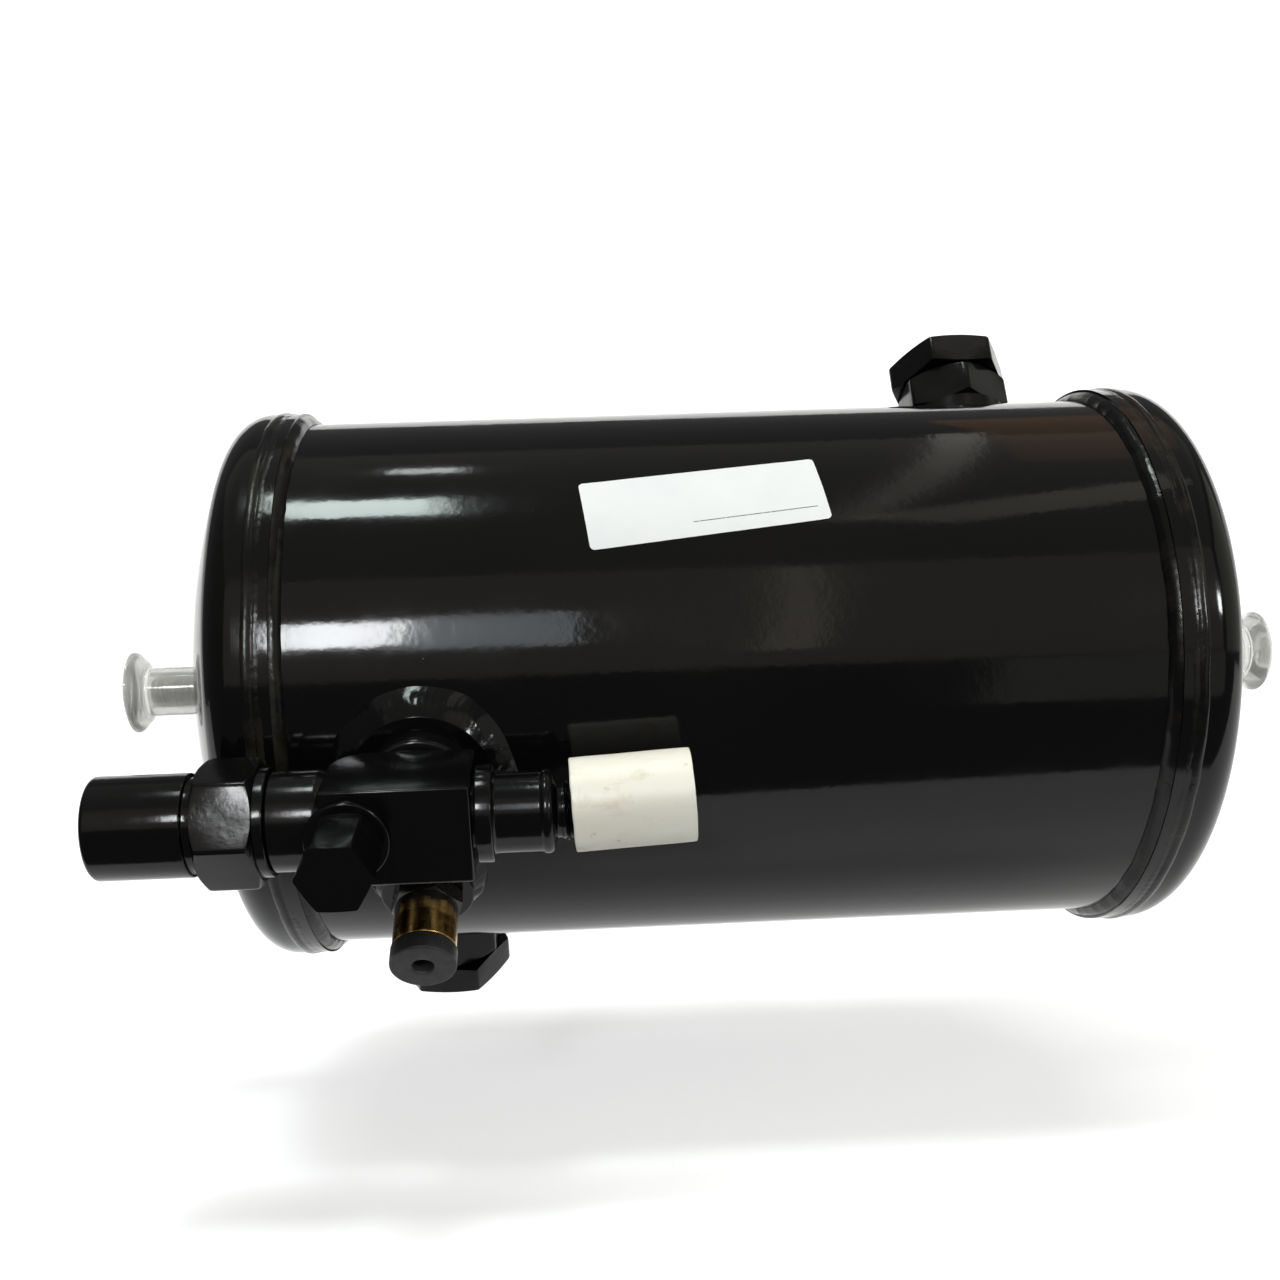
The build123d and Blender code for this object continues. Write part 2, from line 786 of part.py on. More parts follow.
def make_port_boss(angle, station):
    """Round weld-on foot, hexagon and threaded nipple of a capped port."""
    foot = on_tank(rod(port_boss_radius, 0, port_boss_hex_start), angle, station) - tank_solid()
    low = shell_radius - valve_pilot_depth
    upper = rod(port_boss_pilot_radius, low, port_boss_hex_start)
    upper += hex_bar(port_boss_hex_flats, port_boss_hex_start, port_boss_hex_end, port_boss_hex_turn)
    upper += rod(port_nipple_radius, port_boss_hex_end, port_nipple_end)
    boss = foot + on_tank(upper, angle, station)
    return boss - on_tank(rod(port_hole_radius, 0, port_nipple_end), angle, station)


def make_port_weld(angle, station):
    """Weld round the foot of a capped port."""
    return make_saddle_weld(port_boss_radius, port_weld_radius, port_weld_leg, angle, station)


def make_port_plug(angle, station):
    """Hexagon cap nut of a port."""
    plug = hex_bar(plug_hex_flats, plug_hex_start, plug_hex_end, plug_hex_turn, plug_hex_slope)
    plug -= rod(port_nipple_radius + thread_fit, plug_hex_start, plug_seal_end)
    return on_tank(plug, angle, station)


def make_port_seal(angle, station):
    """Copper sealing disc in a port's cap nut."""
    return on_tank(rod(port_nipple_radius - thread_fit, plug_seal_start, plug_seal_end), angle, station)


def make_pickup_tube():
    """Straight dip tube from the service valve's neck across the tank."""
    top = valve_boss_top - spigot_depth + pickup_socket_depth - gasket_gap
    tube = ring(pickup_radius, pickup_radius - pickup_wall, pickup_end, top)
    return on_tank(tube, valve_angle, valve_station)


def make_pickup_strainer():
    """Slotted cup over the end of the dip tube."""
    bore = pickup_radius + spigot_fit
    low = pickup_end - strainer_gap
    top = low + strainer_length
    cup = ring(strainer_radius, strainer_radius - strainer_wall, low, top)
    cup += rod(strainer_radius, low, low + strainer_wall)
    cup += ring(strainer_radius, bore, top - 2 * strainer_wall, top)
    height = strainer_length - 6 * strainer_wall
    slot = Pos(0, 0, (low + top) / 2) * Box(4 * strainer_radius, strainer_slot_width, height)
    for index in range(strainer_slots // 2):
        cup -= Rot(0, 0, index * 360 / strainer_slots) * slot & ring(
            2 * strainer_radius, strainer_radius - 2 * strainer_wall, low, top
        )
    return on_tank(cup, valve_angle, valve_station)


def make_desiccant_bag():
    """Sealed sausage-shaped bag of drying beads, lying along the bottom of the tank."""
    straight = bag_length / 2 - bag_radius
    centre = shell_radius - shell_wall - bag_radius - rest_gap
    bag = rod(bag_radius, -straight, straight)
    for end in (-straight, straight):
        bag += Pos(0, 0, end) * Sphere(bag_radius)
    return on_tank(Pos(0, 0, centre) * Rot(0, 90, 0) * bag, bag_angle, bag_station)


def make_label():
    """Thin label stuck to the shell, a little out of square."""
    blank = extrude(RectangleRounded(label_width, label_height, label_corner), amount=2 * shell_radius)
    blank = on_tank(Rot(0, 0, label_turn) * blank, label_angle, label_station)
    return blank & along_tank(ring(shell_radius + label_thickness, shell_radius, -shell_half, shell_half))


upper_port = (upper_port_angle, upper_port_station)
lower_port = (lower_port_angle, lower_port_station)

parts = {
    "shell": make_shell(),
    "head_left": make_head(-1),
    "head_right": make_head(1),
    "head_weld_left": make_head_weld(-1),
    "head_weld_right": make_head_weld(1),
    "stud_left": make_stud(-1),
    "stud_right": make_stud(1),
    "stud_weld_left": make_stud_weld(-1),
    "stud_weld_right": make_stud_weld(1),
    "protector_left": make_protector(-1),
    "protector_right": make_protector(1),
    "valve_boss": make_valve_boss(),
    "valve_weld": make_valve_weld(),
    "valve_body": make_valve_body(),
    "seat_disc": make_seat_disc(),
    "valve_stem": make_valve_stem(),
    "stem_packing": make_stem_packing(),
    "gland_nut": make_gland_nut(),
    "stem_cap": make_stem_cap(),
    "stem_cap_gasket": make_stem_cap_gasket(),
    "outlet_fitting": make_outlet_fitting(),
    "outlet_cap": make_outlet_cap(),
    "port_fitting": make_port_fitting(),
    "port_core": make_valve_core(),
    "core_pin": make_core_pin(),
    "core_spring": make_core_spring(),
    "port_cap": make_port_cap(),
    "port_cap_gasket": make_port_cap_gasket(),
    "relief_boss": make_relief_boss(),
    "relief_weld": make_relief_weld(),
    "relief_body": make_relief_body(),
    "relief_poppet": make_relief_poppet(),
    "relief_seal": make_relief_seal(),
    "relief_spring": make_relief_spring(),
    "relief_adjuster": make_relief_adjuster(),
    "relief_dust_cap": make_relief_dust_cap(),
    "upper_port_boss": make_port_boss(*upper_port),
    "upper_port_weld": make_port_weld(*upper_port),
    "upper_port_plug": make_port_plug(*upper_port),
    "upper_port_seal": make_port_seal(*upper_port),
    "lower_port_boss": make_port_boss(*lower_port),
    "lower_port_weld": make_port_weld(*lower_port),
    "lower_port_plug": make_port_plug(*lower_port),
    "lower_port_seal": make_port_seal(*lower_port),
    "pickup_tube": make_pickup_tube(),
    "pickup_strainer": make_pickup_strainer(),
    "desiccant_bag": make_desiccant_bag(),
    "label": make_label(),
}

os.makedirs("parts", exist_ok=True)
for name, shape in parts.items():
    export_step(shape, f"parts/{name}.step")
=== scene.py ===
import math
import random

import bmesh
import bpy
from mathutils import Matrix, Quaternion, Vector, noise


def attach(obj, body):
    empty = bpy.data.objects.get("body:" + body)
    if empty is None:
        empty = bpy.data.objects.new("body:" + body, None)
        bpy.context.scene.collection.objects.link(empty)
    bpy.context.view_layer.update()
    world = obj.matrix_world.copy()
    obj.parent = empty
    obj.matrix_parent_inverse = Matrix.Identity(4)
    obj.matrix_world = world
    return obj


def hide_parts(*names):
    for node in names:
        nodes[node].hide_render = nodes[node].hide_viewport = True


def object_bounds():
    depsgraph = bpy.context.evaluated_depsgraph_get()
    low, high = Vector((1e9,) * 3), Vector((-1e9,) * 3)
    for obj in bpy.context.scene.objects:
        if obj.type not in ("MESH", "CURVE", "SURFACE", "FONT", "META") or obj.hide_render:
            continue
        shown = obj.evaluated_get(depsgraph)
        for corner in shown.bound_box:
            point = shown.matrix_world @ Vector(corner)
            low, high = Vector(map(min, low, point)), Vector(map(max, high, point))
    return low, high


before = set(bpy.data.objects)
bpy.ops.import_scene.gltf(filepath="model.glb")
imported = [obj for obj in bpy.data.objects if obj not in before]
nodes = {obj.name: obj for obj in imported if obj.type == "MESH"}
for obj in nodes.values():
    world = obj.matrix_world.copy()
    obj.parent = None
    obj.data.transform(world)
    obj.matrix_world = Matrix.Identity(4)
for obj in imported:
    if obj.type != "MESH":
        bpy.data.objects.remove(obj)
cad_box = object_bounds()
TAU = math.tau

# Sizes in millimetres, as in the solid model
SHELL_RADIUS = 76.2
SHELL_WALL = 3.0
HEAD_OUTER = 79.3
HEAD_SKIRT = 121.0
TANK_HALF = 145.7662729945583
VALVE_ANGLE = -18.5
VALVE_STATION = -77.0
VALVE_AXIS = 98.4
BLOCK_FRONT = 110.3
BAR = 23.8
PORT_PLACE = -14.0
RELIEF = (-42.5, -78.8)
UPPER_PORT = (115.0, 89.3)
LOWER_PORT = (-118.5, -84.0)


# Places
def on_tank(angle, station):
    return Matrix.Translation((TANK_HALF + station, 0, 0)) @ Matrix.Rotation(math.radians(90 - angle), 4, "X")


def on_valve(offset=0.0):
    lying = Matrix.Translation((offset, 0, VALVE_AXIS)) @ Matrix.Rotation(math.radians(90), 4, "Y")
    return on_tank(VALVE_ANGLE, VALVE_STATION) @ lying


def at_end(side):
    return Matrix.Translation((TANK_HALF, 0, 0)) @ Matrix.Rotation(math.radians(90 * side), 4, "Y")


def wobble(seed, *values):
    return noise.noise(Vector(values) + Vector((seed, seed * 0.7, seed * 1.3)))


# Mesh building
def soften(points, closed=False):
    """Profile with its corners rounded: a point is (radius, height) or (radius, height, rounding)."""
    result = []
    count = len(points)
    for index, point in enumerate(points):
        here = Vector(point[:2])
        reach = point[2] if len(point) > 2 else 0.0
        ends = not closed and index in (0, count - 1)
        if not reach or ends:
            result.append(tuple(here))
            continue
        before = Vector(points[index - 1][:2])
        after = Vector(points[(index + 1) % count][:2])
        start = here + (before - here).normalized() * min(reach, (before - here).length * 0.48)
        finish = here + (after - here).normalized() * min(reach, (after - here).length * 0.48)
        for step in range(6):
            t = step / 5
            result.append(tuple(start * (1 - t) ** 2 + here * 2 * t * (1 - t) + finish * t * t))
    return result


def grid_mesh(name, rows, angles, matrix, closed=False, sharp=40):
    """Turned mesh from rows, each (radius, height) or a function of the angle that gives them."""
    mesh = bmesh.new()
    rings = []
    for row in rows:
        if not callable(row) and row[0] <= 1e-6:
            rings.append([mesh.verts.new(matrix @ Vector((0, 0, row[1])) * 0.001)])
            continue
        ring = []
        for angle in angles:
            radius, height = row(angle) if callable(row) else row
            place = matrix @ Vector((radius * math.cos(angle), radius * math.sin(angle), height))
            ring.append(mesh.verts.new(place * 0.001))
        rings.append(ring)
    pairs = list(zip(rings, rings[1:]))
    if closed:
        pairs.append((rings[-1], rings[0]))
    for low, high in pairs:
        for i in range(len(angles)):
            j = (i + 1) % len(angles)
            if len(low) == 1 and len(high) == 1:
                break
            if len(low) == 1:
                mesh.faces.new((low[0], high[j], high[i]))
            elif len(high) == 1:
                mesh.faces.new((low[i], low[j], high[0]))
            else:
                mesh.faces.new((low[i], low[j], high[j], high[i]))
    return finish_mesh(name, mesh, sharp)


def finish_mesh(name, mesh, sharp=40):
    bmesh.ops.recalc_face_normals(mesh, faces=mesh.faces)
    data = bpy.data.meshes.new(name)
    mesh.to_mesh(data)
    mesh.free()
    data.polygons.foreach_set("use_smooth", [True] * len(data.polygons))
    data.set_sharp_from_angle(angle=math.radians(sharp))
    piece = bpy.data.objects.new(name, data)
    bpy.context.scene.collection.objects.link(piece)
    return piece


def even(count):
    return [TAU * i / count for i in range(count)]


def hex_angles(turn, rounding=0.09, flats=18, corners=7):
    """Angles round a hexagon, close together at its corners."""
    angles = []
    for side in range(6):
        corner = math.radians(turn) + side * TAU / 6
        for step in range(corners):
            angles.append(corner + rounding * (2 * step / (corners - 1) - 1))
        for step in range(1, flats):
            angles.append(corner + rounding + (TAU / 6 - 2 * rounding) * step / flats)
    return sorted(angle % TAU for angle in angles)


def hex_radius(angle, turn, flats, rounding):
    """Radius of a hexagon with rounded corners. A corner points along turn."""
    half = flats / 2
    off = (angle - math.radians(turn) + TAU / 12) % (TAU / 6) - TAU / 12
    centre = (half - rounding) / math.cos(TAU / 12)
    from_flat = TAU / 12 - abs(off)
    if from_flat <= math.atan((half - rounding) * math.tan(TAU / 12) / half):
        return half / math.cos(from_flat)
    return centre * math.cos(off) + math.sqrt(max(rounding ** 2 - (centre * math.sin(off)) ** 2, 0))


def hex_rows(flats, low, high, turn, rounding=0.8, slope=30.0, bottom=True, top=True, edge=0.35):
    """Rows of a hexagon with a chamfered end, with the arris of each chamfer a little soft."""
    half = flats / 2
    tangent = math.tan(math.radians(slope))

    def at_chamfer(share, upper):
        def row(angle):
            radius = hex_radius(angle, turn, flats, rounding)
            corner = radius - share * (radius - half) if share >= 0 else radius
            drop = (radius - half) * tangent * (1 - share) if share >= 0 else (radius - half) * tangent + edge
            return (corner, high - drop) if upper else (corner, low + drop)
        return row

    rows = []
    if bottom:
        rows += [(half - edge, low), at_chamfer(0.93, False), at_chamfer(0.5, False), at_chamfer(0.06, False)]
    rows += [at_chamfer(-1, False), at_chamfer(-1, True)]
    if top:
        rows += [at_chamfer(0.06, True), at_chamfer(0.5, True), at_chamfer(0.93, True), (half - edge, high)]
    return rows


def thread_rows(radius, low, high, pitch, depth, steps=8):
    """Rows of a right-hand thread that runs out at both ends."""
    count = max(int((high - low) / pitch * steps), 2)
    rows = []
    for i in range(count + 1):
        height = low + (high - low) * i / count
        fade = max(0.0, min(1.0, (height - low) / pitch, (high - height) / pitch))

        def row(angle, height=height, fade=fade):
            place = (height / pitch - angle / TAU) % 1.0
            crest = min(max((abs(2 * place - 1) - 0.12) / 0.76, 0.0), 1.0)
            return (radius - depth * (1 - crest * fade) if fade < 1 else radius - depth * (1 - crest), height)
        rows.append(row)
    return rows


def lathe(name, points, matrix, count=144, closed=False, sharp=40):
    return grid_mesh(name, soften(points, closed), even(count), matrix, closed, sharp)


def join(name, *pieces):
    """One piece from several."""
    mesh = bmesh.new()
    for piece in pieces:
        mesh.from_mesh(piece.data)
        data = piece.data
        bpy.data.objects.remove(piece)
        bpy.data.meshes.remove(data)
    data = bpy.data.meshes.new(name)
    mesh.to_mesh(data)
    mesh.free()
    piece = bpy.data.objects.new(name, data)
    bpy.context.scene.collection.objects.link(piece)
    return piece


def cut(piece, *tools):
    """Take the tools' shapes out of a piece."""
    for tool in tools:
        modifier = piece.modifiers.new("cut", "BOOLEAN")
        modifier.object = tool
        modifier.operation = "DIFFERENCE"
        modifier.solver = "EXACT"
        with bpy.context.temp_override(object=piece, active_object=piece, selected_objects=[piece]):
            bpy.ops.object.modifier_apply(modifier=modifier.name)
        bpy.data.objects.remove(tool)
    piece.data.polygons.foreach_set("use_smooth", [True] * len(piece.data.polygons))
    piece.data.set_sharp_from_angle(angle=math.radians(35))
    return piece


def dress(piece, material, body, slot, *stands_for):
    """Give a piece its material and body, and hide the nodes that it stands for. The slot is not used."""
    piece.data.materials.clear()
    piece.data.materials.append(material)
    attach(piece, body)
    if stands_for:
        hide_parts(*stands_for)
    return piece


# Materials
class Surface:
    """A principled material with its nodes."""

    def __init__(self, name, **inputs):
        self.material = bpy.data.materials.new(name)
        self.material.use_nodes = True
        self.tree = self.material.node_tree
        self.shader = self.tree.nodes["Principled BSDF"]
        for key, value in inputs.items():
            self.shader.inputs[key.replace("_", " ")].default_value = value
        self.place = self.tree.nodes.new("ShaderNodeTexCoord").outputs["Object"]

    def link(self, source, target):
        self.tree.links.new(source, target)

    def noise(self, scale, detail=3.0, rough=0.55, stretch=None, kind="noise", distortion=0.0):
        node = self.tree.nodes.new("ShaderNodeTexVoronoi" if kind == "cells" else "ShaderNodeTexNoise")
        node.inputs["Scale"].default_value = scale
        if kind == "noise":
            node.inputs["Detail"].default_value = detail
            node.inputs["Roughness"].default_value = rough
            node.inputs["Distortion"].default_value = distortion
        place = self.place
        if stretch:
            mapping = self.tree.nodes.new("ShaderNodeMapping")
            mapping.inputs["Scale"].default_value = stretch
            self.link(place, mapping.inputs["Vector"])
            place = mapping.outputs["Vector"]
        self.link(place, node.inputs["Vector"])
        return node.outputs["Distance" if kind == "cells" else "Fac"]

    def ramp(self, source, *stops):
        node = self.tree.nodes.new("ShaderNodeValToRGB")
        band = node.color_ramp
        while len(band.elements) < len(stops):
            band.elements.new(0.5)
        for element, (position, colour) in zip(band.elements, stops):
            element.position = position
            element.color = colour if len(colour) == 4 else (*colour, 1)
        self.link(source, node.inputs["Fac"])
        return node.outputs["Color"]

    def level(self, source, low, high, start=0.0, end=1.0):
        node = self.tree.nodes.new("ShaderNodeMapRange")
        node.inputs["From Min"].default_value = start
        node.inputs["From Max"].default_value = end
        node.inputs["To Min"].default_value = low
        node.inputs["To Max"].default_value = high
        self.link(source, node.inputs["Value"])
        return node.outputs["Result"]

    def mix(self, factor, first, second, mode="MIX"):
        node = self.tree.nodes.new("ShaderNodeMix")
        node.data_type = "RGBA"
        node.blend_type = mode
        for socket, value in ((node.inputs["Factor"], factor), (node.inputs["A"], first), (node.inputs["B"], second)):
            if hasattr(value, "is_linked"):
                self.link(value, socket)
            else:
                socket.default_value = value
        return node.outputs["Result"]

    def math(self, kind, first, second=0.0):
        node = self.tree.nodes.new("ShaderNodeMath")
        node.operation = kind
        for socket, value in zip(node.inputs, (first, second)):
            if hasattr(value, "is_linked"):
                self.link(value, socket)
            else:
                socket.default_value = value
        return node.outputs["Value"]

    def bump(self, height, strength, distance):
        node = self.tree.nodes.new("ShaderNodeBump")
        node.inputs["Strength"].default_value = strength
        node.inputs["Distance"].default_value = distance
        self.link(height, node.inputs["Height"])
        if self.shader.inputs["Normal"].is_linked:
            self.link(self.shader.inputs["Normal"].links[0].from_socket, node.inputs["Normal"])
        self.link(node.outputs["Normal"], self.shader.inputs["Normal"])
        return node

    def colour(self, source):
        self.link(source, self.shader.inputs["Base Color"])

    def rough(self, source):
        self.link(source, self.shader.inputs["Roughness"])


def radius_from_axis(surface):
    """Distance of a point from the tank's axis, in metres."""
    split = surface.tree.nodes.new("ShaderNodeSeparateXYZ")
    surface.link(surface.place, split.inputs["Vector"])
    squares = [surface.math("MULTIPLY", split.outputs[i], split.outputs[i]) for i in ("Y", "Z")]
    return surface.math("SQRT", surface.math("ADD", *squares))


def black_paint(name, peel=0.05, grit=0.0, rough=(0.06, 0.14), stain=0.0):
    s = Surface(name, Specular_IOR_Level=0.24)
    tint = s.noise(9.0, 3.0)
    s.colour(s.ramp(tint, (0.3, (0.0014, 0.0015, 0.0018)), (0.75, (0.0032, 0.0030, 0.0027))))
    if stain:
        patches = s.level(s.noise(75.0, 5.0, 0.65, distortion=0.5), 0.0, stain, 0.48, 0.68)
        s.colour(s.mix(patches, s.ramp(tint, (0.3, (0.0014, 0.0015, 0.0018)), (0.75, (0.0032, 0.0030, 0.0027))),
                       (0.026, 0.022, 0.014, 1)))
    haze = s.noise(38.0, 5.0, 0.62)
    s.rough(s.level(haze, rough[0], rough[1], 0.35, 0.75))
    s.bump(s.noise(330.0, 2.0), peel, 0.0004)
    s.bump(s.noise(40.0, 2.0), peel * 0.35, 0.0012)
    specks = s.level(s.noise(420.0, 0.0, kind="cells"), 1.0, 0.0, 0.0, 0.06)
    s.bump(specks, 0.12, 0.0001)
    if grit:
        s.bump(s.noise(900.0, 4.0, 0.7), grit, 0.0005)
    return s.material


paint = black_paint("gloss_paint")
weld_paint = black_paint("weld_paint", 0.16, 0.05, (0.08, 0.24))
band_paint = black_paint("band_paint", 0.20, 0.08, (0.10, 0.34), 0.45)
fitting_paint = black_paint("fitting_paint", 0.08, 0.03, (0.10, 0.22))
nut_paint = black_paint("nut_paint", 0.18, 0.06, (0.13, 0.30))


def make_brass():
    s = Surface("brass", Metallic=1.0)
    # Brass colour in stretched streaks from near black to pale gold: painted reflection streaks, the light and dark
    # bands that a round metal body shows
    reflection_streaks = s.noise(110.0, 1.5, 0.5, (4.0, 0.12, 0.12))
    brass_with_painted_streaks = s.ramp(reflection_streaks, (0.38, (0.09, 0.045, 0.012)), (0.5, (0.40, 0.23, 0.065)), (0.62, (0.80, 0.54, 0.20)))
    reach = s.math("ADD", radius_from_axis(s), s.level(s.noise(300.0, 4.0), -0.0025, 0.0025))
    spray = s.level(reach, 1.0, 0.0, 0.0885, 0.0925)
    s.colour(s.mix(spray, brass_with_painted_streaks, (0.012, 0.010, 0.008, 1)))
    s.link(s.level(spray, 1.0, 0.0), s.shader.inputs["Metallic"])
    s.rough(s.level(s.noise(400.0, 5.0), 0.16, 0.34, 0.3, 0.7))
    s.bump(s.noise(900.0, 3.0, 0.6, (0.3, 2.0, 2.0)), 0.08, 0.0001)
    return s.material


def make_steel(name="bare_steel", base=(0.52, 0.50, 0.47), dark=(0.26, 0.25, 0.23)):
    s = Surface(name, Metallic=1.0)
    s.colour(s.ramp(s.noise(160.0, 5.0, 0.65), (0.3, dark), (0.7, base)))
    s.rough(s.level(s.noise(500.0, 4.0), 0.28, 0.5, 0.3, 0.7))
    s.bump(s.noise(1200.0, 3.0), 0.12, 0.0001)
    return s.material


def make_clear_plastic():
    s = Surface("clear_plastic", IOR=1.32, Transmission_Weight=0.76)
    s.colour(s.ramp(s.noise(90.0, 4.0), (0.3, (0.86, 0.86, 0.83)), (0.75, (0.93, 0.93, 0.91))))
    s.rough(s.level(s.noise(260.0, 4.0), 0.05, 0.12, 0.3, 0.7))
    s.bump(s.noise(500.0, 3.0), 0.12, 0.0002)
    return s.material


def make_cream_plastic():
    s = Surface("cream_plastic", IOR=1.5, Subsurface_Weight=0.12)
    s.shader.inputs["Subsurface Radius"].default_value = (0.003, 0.0025, 0.0015)
    clean = s.ramp(s.noise(24.0, 3.0), (0.3, (0.80, 0.77, 0.66)), (0.7, (0.84, 0.82, 0.73)))
    smudge = s.level(s.noise(62.0, 6.0, 0.72, (1.0, 1.6, 1.6), distortion=0.6), 0.0, 0.42, 0.54, 0.74)
    dirty = s.mix(smudge, clean, (0.42, 0.30, 0.17, 1))
    specks = s.level(s.noise(210.0, 3.0, 0.7), 0.0, 0.5, 0.64, 0.74)
    s.colour(s.mix(specks, dirty, (0.30, 0.20, 0.10, 1)))
    s.rough(s.level(s.noise(150.0, 4.0), 0.30, 0.46, 0.3, 0.7))
    s.bump(s.noise(300.0, 4.0), 0.10, 0.0002)
    return s.material


def make_rubber():
    s = Surface("black_rubber", Specular_IOR_Level=0.35)
    s.colour(s.ramp(s.noise(180.0, 5.0, 0.65), (0.3, (0.010, 0.010, 0.011)), (0.8, (0.028, 0.027, 0.026))))
    s.rough(s.level(s.noise(350.0, 4.0), 0.42, 0.62, 0.3, 0.7))
    s.bump(s.noise(1100.0, 4.0, 0.65), 0.25, 0.0001)
    return s.material


def make_plain(name, first, second, scale, rough, metallic=0.0, bump=0.15):
    s = Surface(name, Metallic=metallic)
    s.colour(s.ramp(s.noise(scale, 5.0, 0.6), (0.3, first), (0.75, second)))
    s.rough(s.level(s.noise(scale * 2, 4.0), rough - 0.08, rough + 0.1, 0.3, 0.7))
    s.bump(s.noise(scale * 4, 3.0), bump, 0.0002)
    return s.material


brass = make_brass()
steel = make_steel()
clear_plastic = make_clear_plastic()
cream_plastic = make_cream_plastic()
rubber = make_rubber()
fibre = make_plain("fibre", (0.07, 0.07, 0.07), (0.16, 0.15, 0.14), 500.0, 0.8)
copper = make_plain("copper", (0.42, 0.17, 0.08), (0.70, 0.33, 0.18), 240.0, 0.35, 1.0)
felt = make_plain("felt", (0.60, 0.56, 0.46), (0.78, 0.75, 0.66), 600.0, 0.9, 0.0, 0.6)


# Tank
def dish_points(radius, knuckle, crown, steps=16):
    tilt = math.asin((radius - knuckle) / (crown - knuckle))
    apex = HEAD_SKIRT + crown - math.sqrt((crown - knuckle) ** 2 - (radius - knuckle) ** 2)
    points = []
    for i in range(steps + 1):
        turn = (math.pi / 2 - tilt) * i / steps
        points.append((radius - knuckle + knuckle * math.cos(turn), HEAD_SKIRT + knuckle * math.sin(turn)))
    for i in range(1, steps + 1):
        turn = tilt * (1 - i / steps)
        points.append((crown * math.sin(turn), apex - crown + crown * math.cos(turn)))
    return points


def make_shell():
    radius = SHELL_RADIUS
    rows = []
    for i in range(61):
        height = -120 + 240 * i / 60

        def outer(angle, height=height):
            return (radius + 0.05 * wobble(3, 2 * math.cos(angle), 2 * math.sin(angle), height / 60), height)
        rows.append(outer)
    rows += [(radius - SHELL_WALL, 120), (radius - SHELL_WALL, -120)]
    shell = grid_mesh("shell_skin", rows, even(256), at_end(1), True)
    return dress(shell, paint, "tank", "black_paint", "shell")


def make_head(side, name):
    outer = dish_points(HEAD_OUTER, 10.0, 180.0)
    inner = dish_points(HEAD_OUTER - 3.0, 7.0, 177.0)
    rows = [(HEAD_OUTER, 112.5)] + outer[:-1] + [(0, outer[-1][1])]
    lining = [(0, inner[-1][1])] + inner[-2::-1] + [(HEAD_OUTER - 3.0, 112.5)]
    head = grid_mesh(f"{name}_skin", rows + lining, even(256), at_end(side), True)
    return dress(head, paint, "tank", "black_paint", name)


def make_head_weld(side, name):
    """Two flat passes side by side: a wide one on the head's edge and a narrow one on its skirt."""
    flat = [(0, 0.06), (0.05, 1.0), (0.12, 1.75), (0.22, 2.3), (0.40, 2.85), (0.60, 3.15), (0.68, 3.12), (0.72, 3.05),
            (0.77, 3.30), (0.88, 3.50), (0.96, 3.36), (1.0, 3.12)]
    seed = 11 if side > 0 else 23
    rows = []
    for share, rise in flat:

        def row(angle, share=share, rise=rise):
            c, s = math.cos(angle), math.sin(angle)
            toe = 109.7 + 0.6 * abs(wobble(seed, 9 * c, 9 * s, 0))
            crest = 119.2 - 0.5 * abs(wobble(seed + 5, 7 * c, 7 * s, 0))
            height = toe + (crest - toe) * share
            bow = math.sin(math.pi * share) ** 0.5 if 0 < share < 1 else 0.0
            place = angle * 190 / TAU + 0.9 * (2 * share - 1) ** 2 + 0.3 * wobble(seed, 4 * c, 4 * s, 3)
            ripple = 0.03 * (1 - abs((place % 1.0) * 2 - 1)) * bow
            lumps = 0.14 * wobble(seed, 11 * c, 11 * s, share * 1.5) * bow
            return (SHELL_RADIUS + rise + ripple + lumps, height)
        rows.append(row)
    rows += [(HEAD_OUTER - 1.2, 118.6), (HEAD_OUTER - 1.2, 112.6), (SHELL_RADIUS - 0.6, 112.6),
             (SHELL_RADIUS - 0.6, 110.6)]
    weld = grid_mesh(f"{name}_bead", rows, even(1050), at_end(side), True)
    return dress(weld, band_paint, "tank", "black_paint", name)


def make_stud(side, name):
    top = TANK_HALF + 18.7
    rows = [(0, TANK_HALF - 1.5), (4.6, TANK_HALF - 1.5), (4.6, TANK_HALF + 1.0)]
    rows += thread_rows(5.0, TANK_HALF + 1.2, top - 0.7, 1.5, 0.85)
    rows += [(4.1, top - 0.6), (3.7, top), (0, top)]
    stud = grid_mesh(f"{name}_thread", rows, even(72), at_end(side))
    return dress(stud, steel, "tank", "bare_steel", name)


def make_stud_weld(side, name):
    def toe(angle):
        return (6.9 + 0.25 * wobble(31, 3 * math.cos(angle), 3 * math.sin(angle), side), TANK_HALF - 0.35)

    def middle(angle):
        return (6.0 + 0.2 * wobble(37, 5 * math.cos(angle), 5 * math.sin(angle), side), TANK_HALF + 1.1)
    rows = [(4.8, TANK_HALF - 0.9), toe, middle, (4.9, TANK_HALF + 1.9), (4.5, TANK_HALF + 1.0)]
    weld = grid_mesh(f"{name}_bead", rows, even(120), at_end(side), True)
    return dress(weld, weld_paint, "tank", "black_paint", name)


def make_protector(side, name, body):
    start, end = TANK_HALF + 2.5, TANK_HALF + 24.6
    flange, bottom = end - 4.6, end - 5.3
    points = [
        (5.08, start, 0.2), (7.2, start, 0.4), (7.2, flange, 0.5), (8.6, flange, 0.4), (12.0, flange + 3.2, 1.0),
        (12.0, end - 0.1, 1.2), (9.5, end, 0.3), (6.5, end - 0.35, 0.4), (0, end - 0.45),
        (0, bottom), (5.08, bottom, 0.3),
    ]
    return dress(lathe(f"{name}_moulding", points, at_end(side), 128, True), clear_plastic, body, "clear_plastic", name)


